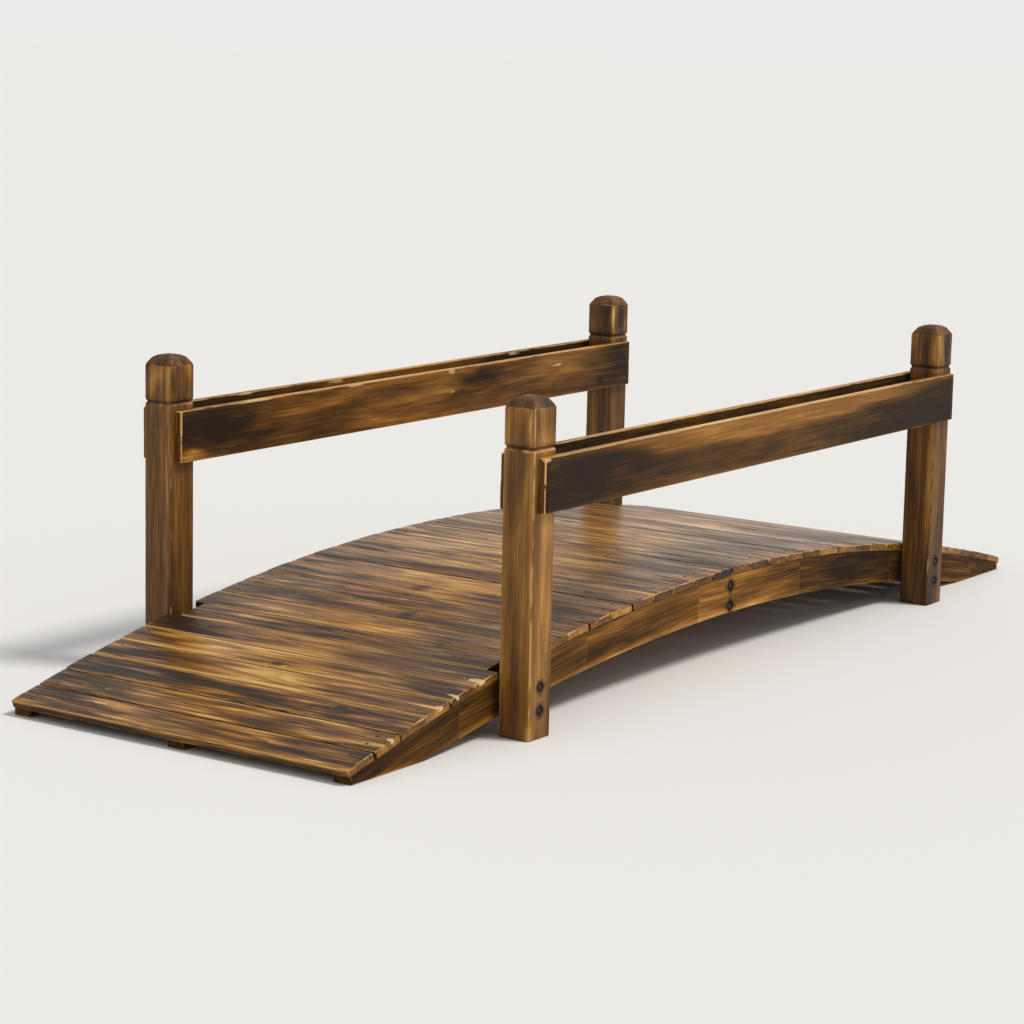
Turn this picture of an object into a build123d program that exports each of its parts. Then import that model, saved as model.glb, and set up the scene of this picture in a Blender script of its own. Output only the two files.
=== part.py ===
from build123d import *
from math import asin, atan2, degrees, hypot, sin
import os

# Arched wooden footbridge, in millimetres.
# X runs along the bridge, Y across it and Z up. The origin is on the ground, in the middle.
# The front is the -Y side and the left is the -X end.

# Driving dimensions: the whole bridge
bridge_length = 2300          # over the two end boards
deck_width = 720              # over the ends of a full board
post_height = 570             # ground to the point of a post
crest_height = 173            # ground to the walking surface at mid-span

# Deck boards, laid across the bridge
board_width = 65.5
board_thickness = 14.5
board_gap = 2.7               # wished for, and evened out over the whole arc
board_overhang = 2.5          # past the outer face of an outer stringer
board_arris = 1.0
post_board_place = 7          # the board that the posts stand beside, counted from either end
post_board_cutback = 25       # from the end of a full board back to the end of a short one

# Arched stringers
stringer_thickness = 35
stringer_tip_height = 13.5
stringer_setback = 7.5        # end of the bridge to the end face of a stringer
underside_crest_height = 89
toe_length = 190              # flat underside at each end, where a stringer lies on the ground

# Posts
post_width = 62
post_arris = 3
cap_bevel_run = 9.5
cap_bevel_rise = 13.5
cap_crown_rise = 4.5
cap_crown_width = 22
groove_height = 486           # ground to the middle of the groove
groove_width = 9
groove_depth = 3

# Rails: a pair of planks clasps the posts on each side
rail_top_height = 473
rail_depth = 93
plank_thickness = 14
plank_setback = 12            # outer face of a post to the end of a plank
plank_arris = 1.5

# Cross brace under the deck at mid-span, in two lengths
brace_width = 40
brace_depth = 58
brace_drop = 4                # below the stringer's crest

# Worked out from the above
half_length = bridge_length / 2
stringer_half = half_length - stringer_setback
stringer_crest = crest_height - board_thickness
stringer_rise = stringer_crest - stringer_tip_height
stringer_radius = (stringer_rise**2 + stringer_half**2) / (2 * stringer_rise)
arc_centre = stringer_crest - stringer_radius
toe_start = stringer_half - toe_length

deck_radius = stringer_radius + board_thickness
half_board = board_width / 2
end_board_angle = asin(half_length / hypot(deck_radius, half_board)) - atan2(half_board, deck_radius)
wished_pitch = (board_width + board_gap) / stringer_radius
board_count = round(2 * end_board_angle / wished_pitch) + 1
board_pitch = 2 * end_board_angle / (board_count - 1)

outer_stringer_face = deck_width / 2 - board_overhang
outer_stringer_y = outer_stringer_face - stringer_thickness / 2
post_angle = end_board_angle - (post_board_place - 1) * board_pitch
post_x = deck_radius * sin(post_angle)
cut_reach = (post_width + board_width) / 2     # a board whose middle is nearer to a post is cut short
post_y = outer_stringer_face + post_width / 2
shoulder_height = post_height - cap_bevel_rise - cap_crown_rise
plank_length = 2 * (post_x + post_width / 2 - plank_setback)
plank_offset = post_width / 2 + plank_thickness / 2


def square(side, height):
    """A level square around the Z axis, at a height."""
    return Pos(0, 0, height) * Rectangle(side, side)


def deck_board(length):
    """One board flat on its back, with its upper long arrises eased."""
    board = Box(board_width, length, board_thickness)
    upper_arrises = board.edges().filter_by(Axis.Y).group_by(Axis.Z)[-1]
    return chamfer(upper_arrises, board_arris)


def place_board(board, angle):
    """Seat a board on the arc, square to the radius at this angle from the crest."""
    lift = stringer_radius + board_thickness / 2
    return Pos(0, 0, arc_centre) * Rot(0, degrees(angle), 0) * Pos(0, 0, lift) * board


def stringer():
    """A plank sawn to an arc on top and underneath, with a flat toe at each end."""
    top = ThreePointArc((-stringer_half, stringer_tip_height), (0, stringer_crest),
                        (stringer_half, stringer_tip_height))
    right_toe = Polyline((stringer_half, stringer_tip_height), (stringer_half, 0), (toe_start, 0))
    underside = ThreePointArc((toe_start, 0), (0, underside_crest_height), (-toe_start, 0))
    left_toe = Polyline((-toe_start, 0), (-stringer_half, 0), (-stringer_half, stringer_tip_height))
    outline = make_face([top, right_toe, underside, left_toe])
    return extrude(Plane.XZ * outline, stringer_thickness / 2, both=True)


def groove_cutter():
    """A wedge along X that cuts the groove into the face of a post that looks to -Y."""
    face = -post_width / 2
    wedge = Polyline((face, groove_height - groove_width / 2), (face + groove_depth, groove_height),
                     (face, groove_height + groove_width / 2), (face - groove_depth, groove_height),
                     close=True)
    return extrude(Plane.YZ * make_face(wedge), post_width, both=True)


def post():
    """A square post with eased arrises, a groove all round and a bevelled cap with a low crown."""
    cap_width = post_width - 2 * cap_bevel_run
    shaft = extrude(square(post_width, 0), shoulder_height)
    bevel = loft([square(post_width, shoulder_height),
                  square(cap_width, shoulder_height + cap_bevel_rise)])
    crown = loft([square(cap_width, shoulder_height + cap_bevel_rise),
                  square(cap_crown_width, post_height)])
    solid = shaft + bevel + crown
    for side in range(4):
        solid -= Rot(0, 0, 90 * side) * groove_cutter()
    section = Rectangle(post_width, post_width)
    eased = chamfer(section.vertices(), post_arris)
    return solid & extrude(eased, post_height)


def rail_plank():
    """One plank of a rail on edge, with its upper and lower long arrises eased."""
    plank = Box(plank_length, plank_thickness, rail_depth)
    return chamfer(plank.edges().filter_by(Axis.X), plank_arris)


def cross_brace():
    """Two lengths of one brace, each from the centre stringer to an outer one."""
    near_y = stringer_thickness / 2
    far_y = outer_stringer_face - stringer_thickness
    middle_z = stringer_crest - brace_drop - brace_depth / 2
    length = far_y - near_y
    lengths = [Pos(0, side * (near_y + length / 2), middle_z) * Box(brace_width, length, brace_depth)
               for side in (-1, 1)]
    return Compound(children=lengths)


nodes = {}

for number in range(1, board_count + 1):
    angle = -end_board_angle + (number - 1) * board_pitch
    from_post = abs(deck_radius * abs(sin(angle)) - post_x)
    cutback = post_board_cutback if from_post < cut_reach else 0
    board = deck_board(deck_width - 2 * cutback)
    nodes[f"deck_board_{number:02d}"] = place_board(board, angle)

for name, y in (("front", -outer_stringer_y), ("centre", 0), ("back", outer_stringer_y)):
    nodes[f"stringer_{name}"] = Pos(0, y, 0) * stringer()

nodes["mid_cross_brace"] = cross_brace()

rail_z = rail_top_height - rail_depth / 2
for side, sign in (("front", -1), ("back", 1)):
    for end, x in (("left", -post_x), ("right", post_x)):
        nodes[f"post_{side}_{end}"] = Pos(x, sign * post_y, 0) * post()
    for face, step in (("outer", 1), ("inner", -1)):
        y = sign * (post_y + step * plank_offset)
        nodes[f"rail_{side}_{face}"] = Pos(0, y, rail_z) * rail_plank()

os.makedirs("parts", exist_ok=True)
for name, shape in nodes.items():
    export_step(shape, f"parts/{name}.step")

print(f"{board_count} boards, {board_pitch * stringer_radius - board_width:.2f} mm apart")
print(f"posts at x {post_x:.1f}, y {post_y:.1f}; planks {plank_length:.1f} long")
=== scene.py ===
# %% [markdown]
# # An arched garden footbridge in flame-charred fir
#
# The real bridge is about 2.3 m long. Thirty-four fir boards lie across three sawn, arched stringers, and
# four square posts carry a pair of rail planks on each side. Before it was put together the wood was passed
# under a torch, brushed and oiled, so its colour runs from gold through caramel to charcoal within a hand's
# width. That finish is the whole look of the bridge, so most of this lesson is about wood.
#
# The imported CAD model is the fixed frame. Every new piece takes its size and place from it.

import bpy
import numpy as np
from mathutils import Matrix, Vector


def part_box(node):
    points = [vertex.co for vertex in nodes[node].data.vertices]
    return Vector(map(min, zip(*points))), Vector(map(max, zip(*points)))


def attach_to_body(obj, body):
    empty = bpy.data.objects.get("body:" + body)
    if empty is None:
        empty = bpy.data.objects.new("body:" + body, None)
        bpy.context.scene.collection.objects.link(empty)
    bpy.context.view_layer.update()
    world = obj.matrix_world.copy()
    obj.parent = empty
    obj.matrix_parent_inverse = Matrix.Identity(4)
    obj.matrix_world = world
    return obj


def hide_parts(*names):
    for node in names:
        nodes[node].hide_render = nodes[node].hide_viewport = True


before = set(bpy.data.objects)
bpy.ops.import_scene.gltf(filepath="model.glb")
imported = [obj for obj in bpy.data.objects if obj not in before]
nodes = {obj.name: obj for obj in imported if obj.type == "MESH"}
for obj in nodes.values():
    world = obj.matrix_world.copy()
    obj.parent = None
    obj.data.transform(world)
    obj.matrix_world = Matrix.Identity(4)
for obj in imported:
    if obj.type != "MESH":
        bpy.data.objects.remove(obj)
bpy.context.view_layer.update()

mm = 0.001

# %% [markdown]
# ## Small tools
#
# Colours are written as sRGB hex, as a paint chart gives them, and one function turns them to the linear
# values that a shader wants. A shader is a graph, and one function adds a node to it with its settings and
# links, so that a material reads from top to bottom like the recipe of a finish.

# %% Colour and shader helpers
def linear(hex_colour):
    """An sRGB hex colour as linear RGBA: c / 12.92 near black, and ((c + 0.055) / 1.055) ** 2.4 above."""
    digits = hex_colour.lstrip("#")
    srgb = np.array([int(digits[i:i + 2], 16) / 255 for i in (0, 2, 4)])
    low = srgb / 12.92
    high = ((srgb + 0.055) / 1.055) ** 2.4
    return (*np.where(srgb <= 0.04045, low, high), 1.0)


def add(tree, kind, inputs=None, out=0, **settings):
    """Add one shader node, set its properties, fill or link its inputs, and return one of its outputs."""
    node = tree.nodes.new(kind)
    for name, value in settings.items():
        setattr(node, name, value)
    for name, value in (inputs or {}).items():
        if isinstance(value, bpy.types.NodeSocket):
            tree.links.new(value, node.inputs[name])
        else:
            node.inputs[name].default_value = value
    return node.outputs[out] if node.outputs else None


def colour_stops(ramp_output, stops):
    """Give a colour ramp its stops, from (place, hex colour) pairs in order."""
    elements = ramp_output.node.color_ramp.elements
    elements[0].position, elements[0].color = stops[0][0], linear(stops[0][1])
    elements[1].position, elements[1].color = stops[-1][0], linear(stops[-1][1])
    for place, tone in stops[1:-1]:
        elements.new(place).color = linear(tone)


def new_material(name):
    """An empty node material and its tree."""
    material = bpy.data.materials.new(name)
    material.use_nodes = True
    material.node_tree.nodes.clear()
    return material, material.node_tree


print("gold of the lightest fir, linear:", [round(float(c), 3) for c in linear("#e0b76c")])

# %% [markdown]
# ## Chance that repeats
#
# Sawn wood is never quite regular. Two smooth random functions do the irregular work: a line that wanders,
# for edges, and a field that drifts, for where the torch lingered. Both are sums of sine waves with seeded
# phases, so the bridge is the same every time it is built.

# %% Smooth randomness
def smoothstep(low, high, value):
    """0 below low, 1 above high, and t * t * (3 - 2t) between."""
    t = np.clip((value - low) / (high - low), 0, 1)
    return t * t * (3 - 2 * t)


def wander(along, rng, wavelengths):
    """A smooth random line: sine waves of the given lengths with random phases, about -1 to 1."""
    phases = rng.uniform(0, 2 * np.pi, len(wavelengths))
    waves = np.sin(2 * np.pi * along[..., None] / np.array(wavelengths) + phases)
    return waves.sum(-1) / np.sqrt(len(wavelengths))


def drift(along, across, rng, long_wave=500, short_wave=90, waves=10):
    """A smooth random field: plane waves, long along the grain and short across it, with a spread of 1."""
    turn_along = rng.normal(0, 2 * np.pi / long_wave, waves)
    turn_across = rng.normal(0, 2 * np.pi / short_wave, waves)
    phases = rng.uniform(0, 2 * np.pi, waves)
    angles = along[..., None] * turn_along + across[..., None] * turn_across + phases
    return np.sin(angles).sum(-1) / np.sqrt(waves / 2)


def stack(*parts):
    """Several arrays, or numbers, side by side as the last axis of one array."""
    return np.stack(np.broadcast_arrays(*parts), -1)


print("a wandering line, at 0, 50 and 100 mm:",
      np.round(wander(np.array([0.0, 50.0, 100.0]), np.random.default_rng(1), (90, 210)), 2))

# %% [markdown]
# ## A timber as a loft
#
# Every timber here is a rounded rectangle carried along a line. In its own coordinates a point is
# (a, b, c): a along the grain, b across the wide face and c through the thickness, all in millimetres.
# The rounded rectangle is a ring of columns, the line is a stack of rows, and the whole surface is one
# array of rows by columns by three. Working on the array keeps every later step, such as a worn arris or a
# counterbore, to a line or two of arithmetic.

# %% The ring of columns
WEAR_REACH = 1.6
FLAT_WEAR = 0.4
CORNER_DEGREES = (22.5, 45, 67.5)
CORNER_WEAR = (0.7, 1.0, 0.7)
LEAST_SPACING = 0.1


def side_lines(flat, steps, extra=()):
    """Places along one flat side, from -flat to flat: even steps, a line just inside each end, and extras."""
    lines = list(np.linspace(-flat, flat, steps + 1))
    if flat > 2 * WEAR_REACH:
        lines += [WEAR_REACH - flat, flat - WEAR_REACH]
    lines += [place for place in extra if abs(place) < flat - LEAST_SPACING]
    return np.unique(np.round(lines, 3))


def ring(half_b, half_c, radius, steps_b, steps_c, extra_b=()):
    """A rounded rectangle as points (b, c), anticlockwise, and the wear of each point.

    Four flat sides are joined by quarter circles of three points. Wear is 1 in the middle of a quarter
    circle and 0.7 beside it, and fades into a flat side as 0.4 * exp(-(distance / reach) ** 2).
    """
    b = side_lines(half_b - radius, steps_b, extra_b)
    c = side_lines(half_c - radius, steps_c)
    sides = (stack(half_b, c), stack(b[::-1], half_c), stack(-half_b, c[::-1]), stack(b, -half_c))
    points, wear = [], []
    for quarter, (side, b_sign, c_sign) in enumerate(zip(sides, (1, -1, -1, 1), (1, 1, -1, -1))):
        flat = (half_c, half_b)[quarter % 2] - radius
        distance = flat - np.abs(side[:, (quarter + 1) % 2])
        turn = np.radians(CORNER_DEGREES) + quarter * np.pi / 2
        corner = stack((half_b - radius) * b_sign + radius * np.cos(turn),
                       (half_c - radius) * c_sign + radius * np.sin(turn))
        points += [side, corner]
        wear += [FLAT_WEAR * np.exp(-(distance / WEAR_REACH) ** 2), np.array(CORNER_WEAR)]
    return np.concatenate(points), np.concatenate(wear)


board_ring, board_wear = ring(32.75, 7.25, 2.0, 8, 2)
print("a deck board's ring has", len(board_ring), "points, mean wear", round(board_wear.mean(), 2))

# %% The stack of rows
# The three rows that close an end face: how far the ring is inset there, and the share of it that each row
# keeps.
FACE_INSET = 1.8
FACE_SHARES = (1, 0.62, 0.28)
# Wear of the arris's three rows and of those three.
END_WEAR = (0.9, 1.0, 0.7, 0.05, 0, 0)
# Rows with a smaller inset than this still have the long arrises' wear.
SIDE_INSET = 1.5


def end_rows(half, radius):
    """Rows that close the +a end: place, inset of the ring in mm, share of the ring kept, and wear.

    The arris is a quarter circle, so at angle t a row lies at half - radius * (1 - sin t) and its ring is
    inset by radius * (1 - cos t). Three more rows close the end face.
    """
    turn = np.radians([0, 45, 90])
    place = np.concatenate([half - radius * (1 - np.sin(turn)), [half] * 3])
    inset = np.concatenate([radius * (1 - np.cos(turn)), [radius + FACE_INSET] * 3])
    return place, inset, np.array([1, 1, 1, *FACE_SHARES]), np.array(END_WEAR)


def loft(section, section_wear, place, inset, keep, wear):
    """The ring carried through the rows: at each row it is scaled so that its sides move in by the inset."""
    half_b, half_c = section.max(0)
    b = section[None, :, 0] * (keep * (1 - inset / half_b))[:, None]
    c = section[None, :, 1] * (keep * (1 - inset / half_c))[:, None]
    on_side = (keep == 1) & (inset < SIDE_INSET)
    return stack(place[:, None], b, c), np.maximum(section_wear[None, :] * on_side[:, None], wear[:, None])


print("rows that close an end at 360 mm:", np.round(end_rows(360, 2)[0], 2))

# %% A straight timber
def timber(half_a, half_b, half_c, radius, step, steps_b=8, steps_c=2, extra_a=(), extra_b=()):
    """A straight timber: points (a, b, c) as rows by columns by 3, and the wear of each from 0 to 1."""
    section, section_wear = ring(half_b, half_c, radius, steps_b, steps_c, extra_b)
    place, inset, keep, wear = end_rows(half_a, radius)
    flat = half_a - radius - WEAR_REACH
    body = np.concatenate([np.linspace(-flat, flat, round(2 * flat / step) + 1),
                           [extra for extra in extra_a if abs(extra) < flat]])
    body = np.unique(np.round(body, 3))
    none = np.zeros(len(body))
    # The other end is the same rows in reverse. Only their places change sign.
    values = ((-1, place, body), (1, inset, none), (1, keep, none + 1), (1, wear, none))
    rows = [np.concatenate([sign * end[::-1], middle, end]) for sign, end, middle in values]
    return loft(section, section_wear, *rows)


sample, _ = timber(360, 32.75, 7.25, 2, 14)
print("one deck board is", sample.shape[0], "rows by", sample.shape[1], "columns")

# %% Softened arrises
ARRIS_WAVES = (47, 130, 340)
# Shifts along the random line for the sides of b and of c, so that no two long arrises match.
ARRIS_SHIFTS = (137, 391)
# How worn an arris point has to be before it is pushed in, and when it is pushed in fully.
PUSH_FROM, PUSH_TO = 0.6, 1.0
LEAST_WEAR, WEAR_SWING = 0.45, 0.65


def soften_arrises(points, wear, rng, depth):
    """Push the arrises inwards by a depth that wanders along the timber, and vary their wear with it.

    One smooth random line gives both, so that an arris is pale where it is worn most.
    """
    side_b, side_c = np.sign(points[..., 1]), np.sign(points[..., 2])
    beside = ARRIS_SHIFTS[0] * side_b + ARRIS_SHIFTS[1] * side_c
    worn = np.clip(0.5 + 0.5 * wander(points[..., 0] + beside, rng, ARRIS_WAVES), 0, 1)
    push = depth * worn * smoothstep(PUSH_FROM, PUSH_TO, wear)
    moved = points.copy()
    moved[..., 1] -= push * side_b
    moved[..., 2] -= push * side_c
    return moved, wear * (LEAST_WEAR + WEAR_SWING * worn)


softened, _ = soften_arrises(sample, np.ones(sample.shape[:2]), np.random.default_rng(2), 1.3)
print("a fully worn arris moves in by up to", round(np.abs(softened - sample).max(), 2), "mm")

# %% [markdown]
# ## From array to mesh
#
# The rows become a closed skin: quads between neighbouring rows, and a fan of triangles at each end. The
# skin also carries what the wood's shader needs, as attributes on its points, so that the grain belongs to
# the timber and not to the room. "log" is the point's place in the log that the timber was sawn from,
# "knot" and "chip" are the offsets from the nearest knot and torn chip, measured in their half sizes, and
# "look" holds the toast of the torch, the wear of an arris and how calm the pattern is.

# %% Skins
def skin(points):
    """Vertices, quads and triangles of the closed skin over rows by columns by 3, facing outwards.

    The signed volume, the sum of p0 . (p1 x p2) over all triangles, tells which way the faces point.
    """
    rows, columns, _ = points.shape
    vertices = np.concatenate([points.reshape(-1, 3), [points[0].mean(0), points[-1].mean(0)]])
    row = np.arange(rows - 1)[:, None] * columns
    column = np.arange(columns)
    beside = (column + 1) % columns
    quads = stack(row + column, row + beside, row + beside + columns, row + column + columns).reshape(-1, 4)
    last = (rows - 1) * columns
    triangles = np.concatenate([stack(rows * columns, beside, column),
                                stack(rows * columns + 1, last + column, last + beside)])
    corners = vertices[np.concatenate([quads[:, :3], quads[:, [0, 2, 3]], triangles])]
    volume = np.einsum("ij,ij->", corners[:, 0], np.cross(corners[:, 1], corners[:, 2]))
    if volume < 0:
        quads, triangles = quads[:, ::-1], triangles[:, ::-1]
    return vertices, quads, triangles


print("one board's skin has", len(skin(sample)[0]), "points")

# %% Objects and attributes
# Edges that turn by more than this many degrees stay sharp.
SHARP_ANGLE = 35


def mesh_object(name, skins, material, sharp_angle=SHARP_ANGLE):
    """One smooth-shaded object from one or more skins in millimetres, riding on the bridge."""
    vertices, faces, offset = [], [], 0
    for points, quads, triangles in skins:
        vertices.append(points * mm)
        faces += (quads + offset).tolist() + (triangles + offset).tolist()
        offset += len(points)
    mesh = bpy.data.meshes.new(name)
    mesh.from_pydata(np.concatenate(vertices), [], faces)
    mesh.polygons.foreach_set("use_smooth", np.ones(len(faces), bool))
    mesh.set_sharp_from_angle(angle=np.radians(sharp_angle))
    mesh.materials.append(material)
    made = bpy.data.objects.new(name, mesh)
    bpy.context.scene.collection.objects.link(made)
    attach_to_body(made, "root")
    return made


def attach(mesh, name, vectors):
    """Store one vector per point, with the mean of each end row for its pole."""
    values = np.concatenate([vectors.reshape(-1, 3), [vectors[0].mean(0), vectors[-1].mean(0)]])
    attribute = mesh.attributes.new(name, "FLOAT_VECTOR", "POINT")
    attribute.data.foreach_set("vector", values.astype(np.float32).ravel())


print("edges of more than", SHARP_ANGLE, "degrees stay sharp")

# %% Marks and finished timbers
# A mark out of reach, for timbers that have none.
FAR_AWAY = (1e5, 1e5, 1.0, 1.0)
GUARD_START, GUARD_END, GUARD = 1.8, 2.6, 3.0


def from_nearest(spots, marks, off_face=False):
    """Offsets (along, across) of each point from the nearest mark, in that mark's half sizes, and a guard.

    Halfway between two marks the offsets jump. The guard is 0 at a mark and rises to 3 before the jump, so
    that no false mark shows on the faces that span it. It is 3 on points that are off the mark's face too.
    """
    marks = np.array(marks or [FAR_AWAY])
    offsets = (spots[..., None, :] - marks[:, :2]) / marks[:, 2:]
    distance = np.linalg.norm(offsets, axis=-1)
    nearest = distance.argmin(-1)[..., None, None]
    offset = np.take_along_axis(offsets, nearest, -2)[..., 0, :]
    guard = np.where(off_face, GUARD, GUARD * smoothstep(GUARD_START, GUARD_END, distance.min(-1)))
    return stack(offset[..., 0], offset[..., 1], guard)


def wood_object(name, material, grain, placed, look, pith, knots=(), chips=(), spots=None, off_face=False):
    """A finished timber: its skin, its place in the log, its marks and its look.

    look is (toast, wear, calm), spots are the places (along, across) that marks are measured from, and
    off_face tells which points a chip can't reach.
    """
    spots = grain[..., :2] if spots is None else spots
    made = mesh_object(name, [skin(placed)], material)
    attach(made.data, "log", grain + np.array(pith))
    attach(made.data, "knot", from_nearest(spots, knots))
    attach(made.data, "chip", from_nearest(spots, chips, off_face))
    attach(made.data, "look", stack(*look))
    return made


print("attributes on every timber: log, knot, chip, look")

# %% [markdown]
# ## The finish: flame-charred, brushed and oiled fir
#
# Fir has wide growth rings: soft pale early wood that ends in a hard dark line of late wood. The torch
# burns the soft wood first, the brush takes the loose char off, and the oil leaves a low satin. To the eye
# this gives gold where the flame was quick, caramel and brown where it stayed, soft grey-black at ends and
# knots, and long dark streaks that follow the grain.
#
# The rings are real rings here: cylinders around the log's pith, about 6 mm apart, so the same material
# shows flames on a wide face and arcs on an end. Everything that darkens the wood adds to one number, the
# toast, and one ramp turns the toast to colour.

# %% Patterns of the wood
# Each noise as (name, length along the grain in mm, width across it in mm, detail). Real fibres are far finer
# than 2.3 mm. They are drawn as bundles that wide, so that they show.
WOOD_NOISES = (("bend", 260, 38, 1.0), ("bands", 220, 13, 1.0), ("streaks", 120, 4.2, 2.0),
               ("clouds", 110, 26, 1.0), ("fibres", 75, 2.3, 2.0))
# How dark the wood is through one year: early wood from 0, and hard late wood before 1.
LATE_WOOD = ((0.0, "#000000"), (0.45, "#2b2b2b"), (0.80, "#dcdcdc"), (0.93, "#ffffff"), (1.0, "#000000"))
# How far the slow bend and a knot push the rings, in mm.
RING_WANDER = 34.0
KNOT_PUSH = 16.0
# A knot's heart is exp(-d * d) between these, where d is the distance in its half sizes.
HEART_FROM, HEART_TO = 0.20, 0.95


def wood_patterns(tree, log, knot, ring_width):
    """The patterns of the wood by name, each from 0 to 1.

    The noises are read in the log's own millimetres. Late wood is a ramp over fract(r / ring width), where
    r is the distance from the pith. A slow bend makes the rings wander, and near a knot at distance d they
    are pushed outwards by KNOT_PUSH * exp(-d * d), so that they close into loops around it.
    """
    pattern = {}
    for label, along, across, detail in WOOD_NOISES:
        squeezed = add(tree, "ShaderNodeVectorMath", {0: log, 1: (1 / along, 1 / across, 1 / across)},
                       operation="MULTIPLY")
        pattern[label] = add(tree, "ShaderNodeTexNoise", {"Vector": squeezed, "Scale": 1.0, "Detail": detail})

    from_knot = add(tree, "ShaderNodeVectorMath", {0: knot, 1: knot}, out="Value", operation="DOT_PRODUCT")
    near_knot = add(tree, "ShaderNodeMath", {0: from_knot, 1: -1.0}, operation="MULTIPLY")
    near_knot = add(tree, "ShaderNodeMath", {0: near_knot}, operation="EXPONENT")
    pattern["knot heart"] = add(tree, "ShaderNodeMapRange", {0: near_knot, 1: HEART_FROM, 2: HEART_TO},
                                interpolation_type="SMOOTHSTEP")

    cross_cut = add(tree, "ShaderNodeVectorMath", {0: log, 1: (0, 1, 1)}, operation="MULTIPLY")
    radius = add(tree, "ShaderNodeVectorMath", {0: cross_cut}, out="Value", operation="LENGTH")
    for push, reach in ((pattern["bend"], RING_WANDER), (near_knot, -KNOT_PUSH)):
        radius = add(tree, "ShaderNodeMath", {0: push, 1: reach, 2: radius}, operation="MULTIPLY_ADD")
    year = add(tree, "ShaderNodeMath", {0: radius, 1: ring_width}, operation="DIVIDE")
    year = add(tree, "ShaderNodeMath", {0: year}, operation="FRACT")
    pattern["late wood"] = add(tree, "ShaderNodeValToRGB", {0: year})
    colour_stops(pattern["late wood"], LATE_WOOD)
    return pattern


print("noises in the wood:", [label for label, *_ in WOOD_NOISES])

# %% Toast
TOAST_COLOURS = ((0.00, "#e0b76c"), (0.16, "#bf8a3e"), (0.34, "#8f5f23"), (0.52, "#6a4414"),
                 (0.70, "#4b300c"), (0.86, "#37230c"), (1.00, "#271a0e"))
# What each pattern adds to the toast, as (name, its middle value, weight).
TOAST_SHARES = (("late wood", 0.3, 0.18), ("bands", 0.5, 0.90), ("streaks", 0.5, 0.85), ("clouds", 0.5, 1.0),
                ("fibres", 0.5, 0.60), ("knot heart", 0.0, 0.38))
CONTRAST_FLOOR = 0.48


def toasted_grain(tree, toast, calm, pattern, weights):
    """The toast with the grain in it: toast + (toast + floor) * (1 - calm) * (weighted sum of the patterns).

    Fire deepens the contrast, so the grain grows with the toast, and golden wood stays calm.
    """
    grain = 0.0
    for label, middle, share in TOAST_SHARES:
        shifted = add(tree, "ShaderNodeMath", {0: pattern[label], 1: middle}, operation="SUBTRACT")
        grain = add(tree, "ShaderNodeMath", {0: shifted, 1: share * weights.get(label, 1.0), 2: grain},
                    operation="MULTIPLY_ADD")
    contrast = add(tree, "ShaderNodeMath", {0: toast, 1: CONTRAST_FLOOR}, operation="ADD")
    lively = add(tree, "ShaderNodeMath", {0: 1.0, 1: calm}, operation="SUBTRACT")
    contrast = add(tree, "ShaderNodeMath", {0: contrast, 1: lively}, operation="MULTIPLY")
    return add(tree, "ShaderNodeMath", {0: grain, 1: contrast, 2: toast}, operation="MULTIPLY_ADD")


print("toast runs from", TOAST_COLOURS[0][1], "to", TOAST_COLOURS[-1][1])

# %% Worn arrises
WORN_COLOUR = "#d3a969"
# The noise that breaks up the wear, as (pattern, weight), and the sums between which pale wood shows.
WORN_NOISE = (("clouds", 0.7), ("fibres", 0.5))
WORN_FROM, WORN_TO = 1.10, 1.42


def show_worn_arrises(tree, colour, worn, pattern):
    """Pale wood where an arris has lost its char.

    Where the wear is slight, only the peaks of the noise show.
    """
    for label, weight in WORN_NOISE:
        worn = add(tree, "ShaderNodeMath", {0: pattern[label], 1: weight, 2: worn}, operation="MULTIPLY_ADD")
    bared = add(tree, "ShaderNodeMapRange", {0: worn, 1: WORN_FROM, 2: WORN_TO})
    return add(tree, "ShaderNodeMix", {"Factor": bared, 6: colour, 7: linear(WORN_COLOUR)}, out=2,
               data_type="RGBA")


print("under the char on an arris:", WORN_COLOUR)

# %% Torn chips
RAW_COLOUR = "#e6c48e"
# The noise that frays a chip's edge, as (pattern, weight), and the sums between which raw wood shows.
CHIP_NOISE = (("clouds", 1.3), ("fibres", 1.0))
CHIP_FROM, CHIP_TO = 1.10, 0.85
FLAKE_WIDTH = 0.9


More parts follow.
